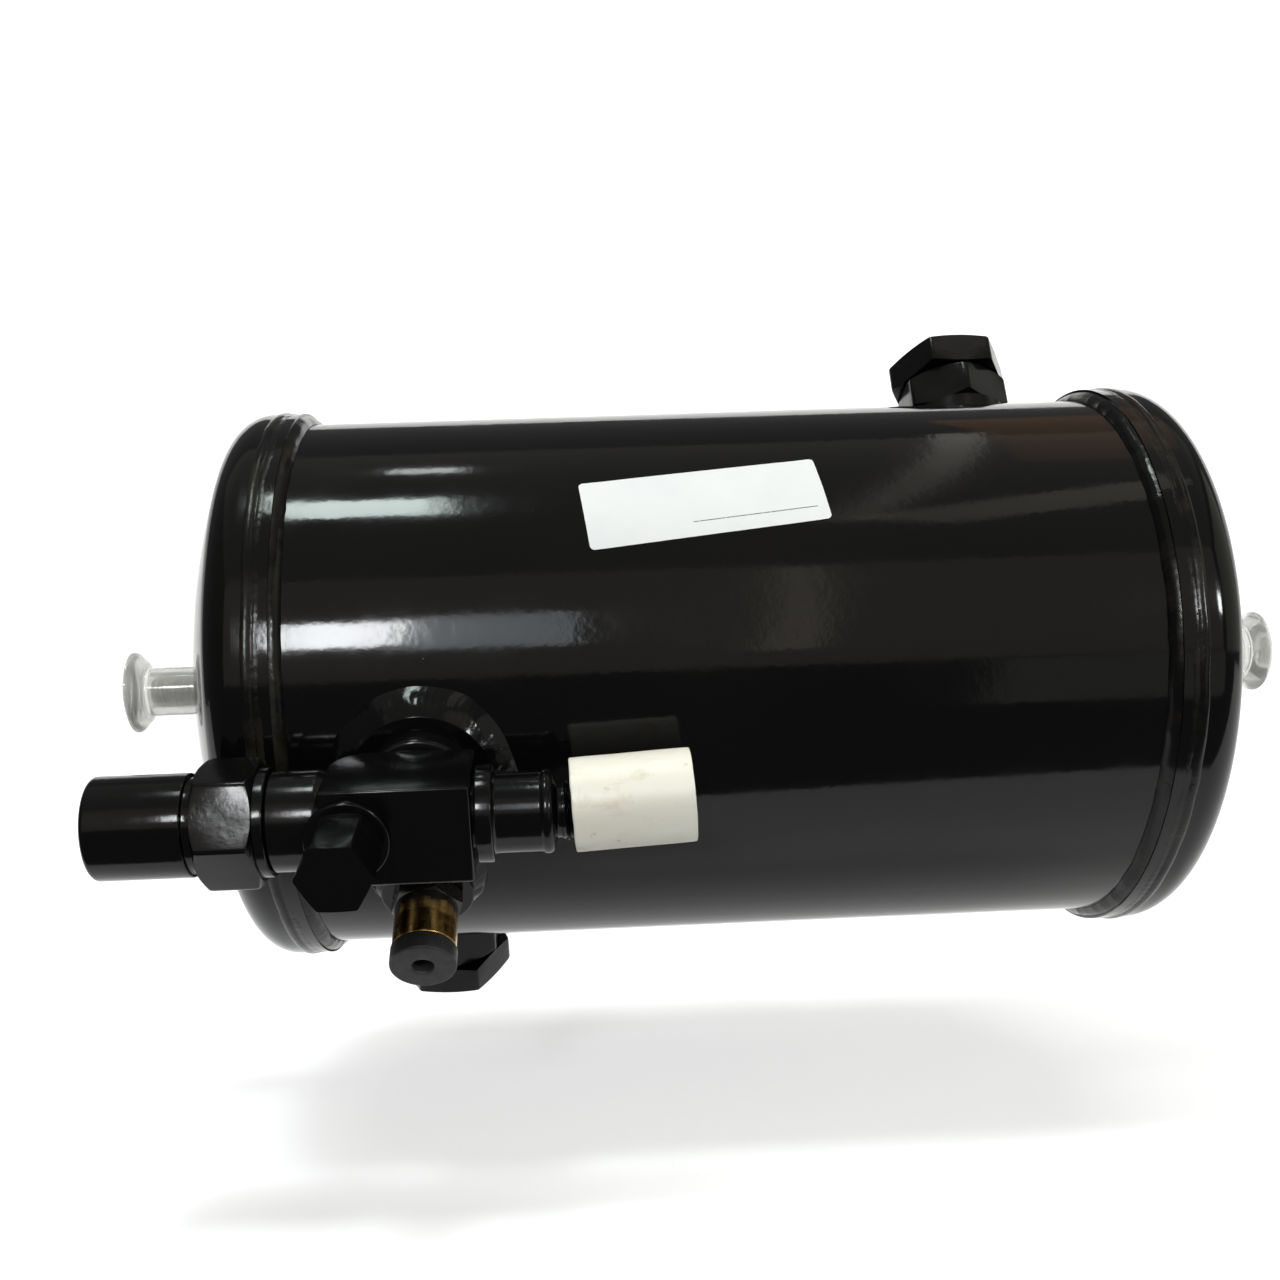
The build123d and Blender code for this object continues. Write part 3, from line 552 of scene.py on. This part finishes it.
make_shell()
make_head(-1, "head_left")
make_head(1, "head_right")
make_head_weld(-1, "head_weld_left")
make_head_weld(1, "head_weld_right")
make_stud(-1, "stud_left")
make_stud(1, "stud_right")
make_stud_weld(-1, "stud_weld_left")
make_stud_weld(1, "stud_weld_right")
make_protector(-1, "protector_left", "left_protector")
make_protector(1, "protector_right", "right_protector")


# Bosses and their welds
def saddle(name, node, place, boss, toe, leg, seed, stops=()):
    """Weld between a round boss and the shell, with ripples, kept clear of the stops (place, radius)."""
    matrix = on_tank(*place)
    rows = []
    steps = 12
    ripples = round(TAU * toe / 2.1)
    for i in range(steps + 1):
        share = i / steps

        def row(angle, share=share):
            c, s = math.cos(angle), math.sin(angle)
            reach = toe - 0.9 + 0.9 * wobble(seed, 3 * c, 3 * s, 0)
            foot = math.sqrt(SHELL_RADIUS ** 2 - (reach * s) ** 2) - 0.15
            top = SHELL_RADIUS + leg - 0.5 + 0.5 * wobble(seed + 3, 4 * c, 4 * s, 1)
            radius = boss - 0.15 + (reach - boss + 0.15) * share
            bow = math.sin(math.pi * share)
            place = angle * ripples / TAU + 0.8 * (2 * share - 1) ** 2 + 0.3 * wobble(seed, 5 * c, 5 * s, 2)
            ripple = 0.05 * (1 - abs((place % 1.0) * 2 - 1)) * bow
            lump = 0.42 * wobble(seed, 5 * c, 5 * s, share * 2) * bow
            grow = leg * 0.08 * bow + ripple + lump
            return (radius + grow * 0.7, top + (foot - top) * share + grow * 0.7)
        rows.append(row)

    def under(angle):
        reach = toe - 1.6
        return (reach, math.sqrt(SHELL_RADIUS ** 2 - (reach * math.sin(angle)) ** 2) - 1.6)

    def inner(angle):
        return (boss - 0.3, math.sqrt(SHELL_RADIUS ** 2 - (boss * math.sin(angle)) ** 2) - 1.6)
    rows += [under, inner]
    bead = grid_mesh(name, rows, even(ripples * 6), matrix, True)
    for stop, radius in stops:
        tool = lathe("stop", [(0, 60), (radius, 60), (radius, 100), (0, 100)], on_tank(*stop), 96)
        cut(bead, tool)
    return dress(bead, weld_paint, "tank", "black_paint", node)


def boss_points(radius, pilot, top, bore, edge=0.6):
    return [(bore, 69.4), (pilot, 69.4), (pilot, 73.4), (radius, 73.4), (radius, top, edge), (bore, top)]


VALVE_PLACE = (VALVE_ANGLE, VALVE_STATION)
dress(
    lathe("valve_boss_pad", boss_points(18.0, 12.0, 79.5, 9.05), on_tank(*VALVE_PLACE), 144, True),
    fitting_paint, "tank", "black_paint", "valve_boss",
)
dress(
    lathe("relief_boss_pad", boss_points(12.0, 9.0, 82.0, 6.65), on_tank(*RELIEF), 128, True),
    fitting_paint, "tank", "black_paint", "relief_boss",
)
saddle("valve_weld_bead", "valve_weld", VALVE_PLACE, 18.0, 24.6, 4.0, 41, [(RELIEF, 12.05)])
saddle("relief_weld_bead", "relief_weld", RELIEF, 12.0, 16.5, 4.0, 47, [(VALVE_PLACE, 24.65)])


# Service valve
def bevelled(name, mesh, width=0.7, segments=3):
    bmesh.ops.recalc_face_normals(mesh, faces=mesh.faces)
    edges = [e for e in mesh.edges if len(e.link_faces) == 2 and e.calc_face_angle() > math.radians(30)]
    bmesh.ops.bevel(mesh, geom=edges, offset=width, segments=segments, profile=0.5, affect="EDGES")
    return finish_mesh(name, mesh, 35)


def make_valve_body():
    mesh = bmesh.new()
    left, right, low, high, half = -19.8, 14.0, BLOCK_FRONT - BAR, BLOCK_FRONT, BAR / 2
    outline = [(right, low), (right, high), (left, high)]
    for i in range(13):
        turn = math.pi + math.pi / 2 * i / 12
        outline.append((left + 9 + 9 * math.cos(turn), low + 9 + 9 * math.sin(turn)))
    near = [mesh.verts.new((x, -half, z)) for x, z in outline]
    far = [mesh.verts.new((x, half, z)) for x, z in outline]
    mesh.faces.new(near)
    mesh.faces.new(far[::-1])
    for i in range(len(outline)):
        j = (i + 1) % len(outline)
        mesh.faces.new((near[i], far[i], far[j], near[j]))
    block = bevelled("block", mesh, 0.75, 4)
    block.data.transform(Matrix.Scale(0.001, 4) @ on_tank(*VALVE_PLACE))
    passage = [
        (0, -20.5), (5.06, -20.5), (5.06, -18.0), (7.0, -18.0), (7.0, 5.9), (4.6, 5.9), (4.6, 10.5), (8.05, 10.5),
        (8.05, 14.5), (0, 14.5),
    ]
    cut(
        block,
        lathe("passage", passage, on_valve(), 96),
        lathe("port", [(0, 98), (1.6, 98), (1.6, 105.3), (4.85, 105.3), (4.85, 111), (0, 111)],
              on_tank(VALVE_ANGLE, VALVE_STATION + PORT_PLACE), 64),
    )
    neck = lathe("neck", [(4, 70.5), (9.0, 70.5, 0.3), (9.0, 79.5, 0.2), (14.3, 79.5, 0.7), (14.3, 86.3, 0.9),
                          (12.6, 86.8), (4, 86.8)], on_tank(*VALVE_PLACE), 144, True)
    rows = soften([(7.6, -34.2), (7.6, -44.5), (9.6, -44.5), (10.0, -44.1)])
    rows += thread_rows(10.5, -44.0, -33.4, 1.5, 0.8)
    rows += soften([(9.9, -33.2), (9.9, -32.4), (11.9, -32.4, 0.6), (11.9, -21.4, 0.4), (11.3, -19.6), (5.06, -19.6),
                    (5.06, -34.2)])
    bonnet = grid_mesh("bonnet", rows, even(144), on_valve(), True)
    body = join("valve_body_forging", block, neck, bonnet)
    return dress(body, fitting_paint, "tank", "black_paint", "valve_body")


def make_stem_cap():
    turn = 0.5
    top = -32.5
    hex_high = top - 2.4
    hex_low = hex_high - 13.7
    barrel = hex_low - 2.4
    end = barrel - 22.6
    rows = [(0, end)] + soften([(0.01, end), (12.2, end, 1.3), (12.2, barrel, 0.5), (11.3, barrel, 0.3),
                               (11.3, hex_low, 0.3), (12.6, hex_low)])[1:]
    rows += hex_rows(27.1, hex_low, hex_high, turn, 1.1, 34.0, edge=0.7)
    rows += soften([(12.9, hex_high + 0.02), (12.9, top, 0.5), (10.55, top, 0.2), (10.55, -46.1), (8.1, -46.1),
                    (8.1, end + 3.2)])
    rows += [(0, end + 3.2)]
    cap = grid_mesh("stem_cap_turning", rows, hex_angles(turn), on_valve())
    return dress(cap, fitting_paint, "cap", "black_paint", "stem_cap")


def make_outlet():
    start, collar = 14.6, 18.6
    points = [
        (4.6, 10.5), (8.0, 10.5), (8.0, start), (11.5, start, 0.5), (11.5, collar, 0.7), (10.2, collar, 0.3),
        (9.45, collar + 0.6, 0.3), (9.45, 29.6, 0.4), (10.0, 30.4, 0.5), (10.0, 31.6, 0.5), (9.4, 32.5, 0.3),
        (6.6, 33.2, 0.3), (6.4, 33.6, 0.2), (6.4, 34.4, 0.2),
    ]
    rows = soften(points)
    rows += thread_rows(7.2, 34.5, 52.2, 1.3, 0.6)
    rows += [(6.5, 52.5), (6.2, 53.0), (4.9, 53.0), (4.6, 52.7)]
    fitting = grid_mesh("outlet_turning", rows, even(144), on_valve(), True)
    dress(fitting, fitting_paint, "tank", "black_paint", "outlet_fitting")

    middle, lift = 43.7, 1.58
    low, high = 37.0 - middle, 65.3 - middle

    def ragged(radius, height, amount):
        def row(angle):
            c, s = math.cos(angle), math.sin(angle)
            return (radius + amount * 0.5 * wobble(53, 2 * c, 2 * s, height / 9), height + amount * wobble(59, 3 * c, 3 * s, 0))
        return row
    bore, outer = 9.4, 11.1
    rows = [ragged(bore, low + 0.2, 0.1), ragged(bore + 0.4, low, 0.15), ragged(outer - 0.25, low, 0.15),
            ragged(outer, low + 0.25, 0.1)]
    rows += [ragged(outer, low + 0.5 + (high - low - 1.6) * i / 8, 0.12) for i in range(1, 9)]
    rows += [ragged(outer - 0.08, high - 0.12, 0.08), ragged(outer - 0.3, high, 0.05), ragged(outer - 4, high - 0.05, 0.04)]
    rows += [(0, high - 0.15), (0, high - 2.6), (bore - 0.4, high - 2.6), (bore, high - 3.0)]
    tilt = Matrix.Translation((0, lift, middle)) @ Matrix.Rotation(math.radians(-3.2), 4, "X")
    cap = grid_mesh("outlet_cap_moulding", rows, even(128), on_valve() @ tilt, True)
    dress(cap, cream_plastic, "outlet_plug", "cream_plastic", "outlet_cap")


def make_service_port():
    place = on_tank(VALVE_ANGLE, VALVE_STATION + PORT_PLACE)
    front = BLOCK_FRONT
    rows = soften([(1.6, front - 5.0), (4.8, front - 5.0), (4.8, front), (9.8, front, 0.2), (9.8, front + 1.6, 0.7),
                   (5.6, front + 1.6, 0.4)])
    rows += thread_rows(5.55, front + 1.7, front + 11.0, 1.27, 0.6)
    rows += [(4.9, front + 11.2), (4.6, front + 11.6), (2.8, front + 11.6), (2.6, front + 11.4), (2.6, front - 2.5),
             (1.6, front - 2.5)]
    fitting = grid_mesh("port_turning", rows, even(96), place, True)
    dress(fitting, fitting_paint, "tank", "black_paint", "port_fitting")
    low = front + 1.8
    top = low + 17.8
    rows = hex_rows(15.2, low, top, 0.0, 0.5, 12.0, edge=0.35)
    inside = [(5.6, low), (5.6, front + 12.9), (3.0, front + 12.9), (3.0, front + 15.3), (0, front + 15.3)]
    rows = inside[::-1] + rows + [(3.0, top + 0.0), (0, top)]
    cap = grid_mesh("port_cap_turning", rows, hex_angles(0.0, 0.07), place)
    dress(cap, fitting_paint, "port_nut", "black_paint", "port_cap")


def make_relief():
    place = on_tank(*RELIEF)
    rows = [(3.0, 74.0)] + thread_rows(6.6, 74.1, 81.9, 1.4, 0.7)
    rows += hex_rows(16.6, 82.0, 86.6, 10.0, 0.5, 30.0, edge=0.3)
    rows += soften([(8.1, 86.7, 0.2), (8.1, 99.1, 0.5), (6.0, 99.1, 0.2), (6.0, 80.6)])
    rows += [(3.8, 80.6), (3.8, 81.4), (3.0, 81.4)]
    body = grid_mesh("relief_turning", rows, hex_angles(10.0, 0.06), place, True)
    dress(body, brass, "tank", "brass", "relief_body")
    base, end = 99.2, 104.3
    points = [(2.7, base - 3.5, 0.3), (5.7, base - 3.5, 0.4), (5.7, base, 0.2), (8.4, base, 0.5), (8.4, end, 0.8),
              (3.0, end, 0.35), (2.7, end - 0.6, 0.2)]
    cap = lathe("relief_dust_cap_moulding", points, place, 128, True)
    dress(cap, rubber, "dust_cover", "black_rubber", "relief_dust_cap")


def make_port(name, place, nut_body, seed):
    matrix = on_tank(*place)
    turn = 32.0
    nut_turn = 2.0
    rows = soften([(8.0, 69.4), (12.5, 69.4), (12.5, 72.0), (16.6, 72.0), (16.6, 86.3, 0.5)])
    rows += hex_rows(31.5, 86.5, 98.6, turn, 1.2, 30.0, edge=0.6)
    rows += thread_rows(11.0, 98.8, 104.6, 1.5, 0.8)
    rows += [(10.0, 104.9), (9.8, 105.0), (8.0, 105.0)]
    boss = grid_mesh(f"{name}_boss_turning", rows, hex_angles(turn, 0.09), matrix, True)
    dress(boss, nut_paint, "tank", "black_paint", f"{name}_boss")
    rows = [(0, 105.9), (11.05, 105.9), (11.05, 99.3)]
    rows += hex_rows(33.4, 99.3, 109.0, nut_turn, 1.2, 15.0, edge=0.6) + [(8.0, 109.0), (0, 109.0)]
    nut = grid_mesh(f"{name}_nut_turning", rows, hex_angles(nut_turn, 0.09), matrix)
    dress(nut, nut_paint, nut_body, "black_paint", f"{name}_plug")
    saddle(f"{name}_weld_bead", f"{name}_weld", place, 16.6, 19.8, 5.5, seed)


make_valve_body()
make_stem_cap()
make_outlet()
make_service_port()
make_relief()
make_port("upper_port", UPPER_PORT, "upper_nut", 61)
make_port("lower_port", LOWER_PORT, "lower_nut", 67)


# Label
LABEL_TURN = math.radians(6.6)
LABEL_ANGLE = math.radians(34.8)
LABEL_STATION = -3.7


def printed_rule(surface):
    """One where the label's thin printed line runs, and zero elsewhere."""
    split = surface.tree.nodes.new("ShaderNodeSeparateXYZ")
    surface.link(surface.place, split.inputs["Vector"])
    along = surface.math("SUBTRACT", split.outputs["X"], (TANK_HALF + LABEL_STATION) * 0.001)
    forward = surface.math("MULTIPLY", split.outputs["Y"], -1.0)
    angle = surface.math("ARCTAN2", split.outputs["Z"], forward)
    up = surface.math("MULTIPLY", surface.math("SUBTRACT", angle, LABEL_ANGLE), SHELL_RADIUS * 0.001)
    c, s = math.cos(LABEL_TURN), math.sin(LABEL_TURN)
    u = surface.math("ADD", surface.math("MULTIPLY", along, c), surface.math("MULTIPLY", up, s))
    v = surface.math("SUBTRACT", surface.math("MULTIPLY", up, c), surface.math("MULTIPLY", along, s))
    across = surface.math("LESS_THAN", surface.math("ABSOLUTE", surface.math("ADD", v, 0.0064)), 0.00014)
    within = surface.math("LESS_THAN", surface.math("ABSOLUTE", surface.math("SUBTRACT", u, 0.0121)), 0.0161)
    return surface.math("MULTIPLY", across, within)


def make_label_material():
    s = Surface("label_paper", Specular_IOR_Level=0.4)
    paper = s.ramp(s.noise(45.0, 4.0), (0.3, (0.70, 0.72, 0.72)), (0.75, (0.76, 0.77, 0.76)))
    ink = s.math("MULTIPLY", printed_rule(s), s.level(s.noise(2200.0, 2.0), 0.5, 1.0, 0.3, 0.5))
    s.colour(s.mix(ink, paper, (0.09, 0.09, 0.10, 1)))
    s.rough(s.level(s.noise(300.0, 4.0), 0.32, 0.5, 0.3, 0.7))
    s.bump(s.noise(700.0, 4.0), 0.12, 0.0001)
    return s.material


def make_label():
    turn = LABEL_TURN
    matrix = Matrix.Translation((TANK_HALF + LABEL_STATION, 0, 0))
    centre = LABEL_ANGLE
    mesh = bmesh.new()
    half_w, half_h, corner = 31.0, 10.75, 1.2
    columns, lines = 62, 22

    def place(u, v, lift):
        x = u * math.cos(turn) - v * math.sin(turn)
        y = u * math.sin(turn) + v * math.cos(turn)
        angle = centre + y / SHELL_RADIUS
        curl = 0.10 * max(0.0, (abs(u) - 26) / 5) * max(0.0, (abs(v) - 6) / 5)
        radius = SHELL_RADIUS + lift + curl + 0.02 * wobble(71, u / 9, v / 9, 0)
        return matrix @ Vector((x, -radius * math.cos(angle), radius * math.sin(angle))) * 0.001
    grid = {}
    for side, lift in enumerate((0.02, 0.11)):
        for i in range(columns + 1):
            for j in range(lines + 1):
                u = -half_w + 2 * half_w * i / columns
                v = -half_h + 2 * half_h * j / lines
                over_u, over_v = abs(u) - (half_w - corner), abs(v) - (half_h - corner)
                if over_u > 0 and over_v > 0:
                    span = math.hypot(over_u, over_v)
                    if span > corner:
                        u = math.copysign(half_w - corner + over_u * corner / span, u)
                        v = math.copysign(half_h - corner + over_v * corner / span, v)
                grid[side, i, j] = mesh.verts.new(place(u, v, lift))
    for i in range(columns):
        for j in range(lines):
            for side in (0, 1):
                mesh.faces.new([grid[side, i + a, j + b] for a, b in ((0, 0), (1, 0), (1, 1), (0, 1))])
    for i in range(columns):
        for j in (0, lines):
            mesh.faces.new((grid[0, i, j], grid[0, i + 1, j], grid[1, i + 1, j], grid[1, i, j]))
    for j in range(lines):
        for i in (0, columns):
            mesh.faces.new((grid[0, i, j], grid[0, i, j + 1], grid[1, i, j + 1], grid[1, i, j]))
    dress(finish_mesh("label_sheet", mesh, 60), make_label_material(), "tank", "label_white", "label")


make_label()

# What stays as in the solid model, mostly inside
inner_materials = {
    "seat_disc": brass, "valve_stem": steel, "stem_packing": fibre, "gland_nut": brass, "stem_cap_gasket": fibre,
    "port_core": brass, "core_pin": brass, "core_spring": steel, "port_cap_gasket": rubber, "relief_poppet": brass,
    "relief_seal": rubber, "relief_spring": steel, "relief_adjuster": brass, "upper_port_seal": copper,
    "lower_port_seal": copper, "pickup_tube": steel, "pickup_strainer": steel, "desiccant_bag": felt,
}
for name, material in inner_materials.items():
    nodes[name].data.materials.clear()
    nodes[name].data.materials.append(material)


# Camera at the photograph's place
def make_camera():
    yaw, pitch, roll = 0.0327, -0.0586, -0.0375
    forward = Vector((math.sin(yaw) * math.cos(pitch), math.cos(yaw) * math.cos(pitch), math.sin(pitch)))
    right = Vector((math.cos(yaw), -math.sin(yaw), 0))
    up = right.cross(forward)
    across = right * math.cos(roll) + up * math.sin(roll)
    upright = up * math.cos(roll) - right * math.sin(roll)
    data = bpy.data.cameras.new("camera")
    data.sensor_width = 36.0
    data.lens = 1340.3 / 1280 * 36.0
    data.shift_x = (640 - 625.7) / 1280
    data.shift_y = (753 - 640) / 1280
    data.clip_start = 0.01
    camera = bpy.data.objects.new("camera", data)
    turn = Matrix((across, upright, -forward)).transposed().to_4x4()
    camera.matrix_world = Matrix.Translation(((TANK_HALF - 37.4) * 0.001, -0.4067, 0)) @ turn
    bpy.context.scene.collection.objects.link(camera)
    bpy.context.scene.camera = camera
    return camera


# Floor and backdrop
def brightness_shown(tree, plain, extra):
    """Brightness that is plain for light, and more by extra where a ray shows the background."""
    rays = tree.nodes.new("ShaderNodeLightPath")
    seen = rays.outputs["Is Camera Ray"]
    for kind in ("Is Glossy Ray", "Is Transmission Ray"):
        either = tree.nodes.new("ShaderNodeMath")
        either.operation = "MAXIMUM"
        tree.links.new(seen, either.inputs[0])
        tree.links.new(rays.outputs[kind], either.inputs[1])
        seen = either.outputs["Value"]
    scale = tree.nodes.new("ShaderNodeMath")
    scale.operation = "MULTIPLY_ADD"
    scale.inputs[1].default_value = extra
    scale.inputs[2].default_value = plain
    tree.links.new(seen, scale.inputs[0])
    return scale.outputs["Value"]


def make_stage():
    mesh = bmesh.new()
    turn = math.radians(-6.6)
    floor_height = cad_box[0][2] - 0.025
    stage = Matrix.Translation((0.112, -0.136, floor_height)) @ Matrix.Rotation(turn, 4, "Z")
    profile = [(0.0, 0.0), (1.1, 0.0)]
    for i in range(1, 13):
        bend = math.pi / 2 * i / 12
        profile.append((1.1 + 0.7 * math.sin(bend), 0.7 - 0.7 * math.cos(bend)))
    profile.append((1.8, 1.3))
    lines = [[mesh.verts.new(stage @ Vector((x, y, z))) for y, z in profile] for x in (-3.3, 3.3)]
    for i in range(len(profile) - 1):
        mesh.faces.new((lines[0][i], lines[1][i], lines[1][i + 1], lines[0][i + 1]))
    floor = finish_mesh("floor", mesh, 60)
    material = bpy.data.materials.new("floor_paper")
    material.use_nodes = True
    tree = material.node_tree
    shader = tree.nodes["Principled BSDF"]
    shader.inputs["Roughness"].default_value = 0.9
    shader.inputs["Base Color"].default_value = (0.86, 0.86, 0.86, 1)
    shader.inputs["Emission Color"].default_value = (1, 1, 1, 1)
    tree.links.new(brightness_shown(tree, 0.0, 0.45), shader.inputs["Emission Strength"])
    floor.data.materials.append(material)


def area_light(name, place, target, size, power, colour=(1, 1, 1), roll=0.0):
    data = bpy.data.lights.new(name, "AREA")
    data.shape = "RECTANGLE"
    data.size, data.size_y = size
    data.energy = power
    data.color = colour
    light = bpy.data.objects.new(name, data)
    light.location = place
    turn = (Vector(target) - Vector(place)).to_track_quat("-Z", "Y")
    light.rotation_euler = (turn @ Quaternion((0, 0, 1), math.radians(roll))).to_euler()
    bpy.context.scene.collection.objects.link(light)
    return light


def panel(name, place, facing, size, level, colour=(1, 1, 1), roll=0.0):
    """Area light given by its brightness, where 1 is white, looking in a direction."""
    target = Vector(place) + Vector(facing)
    return area_light(name, place, target, size, level * math.pi * size[0] * size[1], colour, roll)


def make_lights():
    world = bpy.data.worlds.new("room")
    world.use_nodes = True
    tree = world.node_tree
    tree.nodes["Background"].inputs["Color"].default_value = (1, 1, 1, 1)
    tree.links.new(brightness_shown(tree, 0.03, 0.10), tree.nodes["Background"].inputs["Strength"])
    bpy.context.scene.world = world
    panel("window", (-0.335, -2.05, 0.75), (0, 1, 0), (0.25, 0.40), 50, (0.95, 0.98, 1.0))
    panel("curtain", (-0.05, -2.06, 0.75), (0, 1, 0), (0.32, 0.55), 4.5, (0.82, 0.91, 1.0))
    panel("far_window", (1.87, -2.05, 0.78), (0, 1, 0), (0.50, 0.30), 60, (0.95, 0.98, 1.0))
    panel("ceiling_lamp", (-0.277, -0.48, 2.1), (0, 0, -1), (0.32, 0.35), 26, (0.86, 1.0, 0.96))
    panel("ceiling_strip", (-0.149, 0.33, 2.1), (0, 0, -1), (0.127, 0.12), 11, (0.90, 1.0, 0.97))
    panel("wall", (0.2, -2.6, 1.25), (0, 1, 0), (4.6, 2.4), 0.50, (1.0, 0.89, 0.76))
    panel("ceiling", (0.2, -0.8, 2.45), (0, 0, -1), (4.6, 3.6), 0.18, (1.0, 0.96, 0.88))
    panel("pillar", (0.64, -2.57, 1.35), (0, 1, 0), (0.13, 2.0), 1.0, (1.0, 0.90, 0.74), -5.0)
    panel("beam", (0.84, -0.05, 2.43), (0, 0, -1), (0.11, 2.4), 0.9, (1.0, 0.94, 0.82), -6.0)
    panel("branch", (1.12, -0.95, 2.42), (0, 0, -1), (0.9, 0.34), 0.8, (1.0, 0.93, 0.80), 52.0)
    panel("door", (1.24, 1.05, 2.42), (0, 0, -1), (0.45, 1.9), 0.22, (1.0, 0.44, 0.14))
    panel("cupboard", (2.0, -2.58, -0.4), (0, 1, 0), (2.0, 0.85), 0.45, (1.0, 1.0, 0.88))
    panel("side_wall", (2.4, -0.5, 0.9), (-1, 0, 0), (2.4, 1.8), 0.45, (1.0, 0.99, 0.82))
    wash = area_light("backdrop_wash", (0.2, -0.3, 2.3), (0.1, 1.2, -0.1), (2.6, 0.6), 30)
    wash.visible_glossy = False


make_camera()
make_stage()
make_lights()
bpy.context.scene.view_settings.view_transform = "Standard"
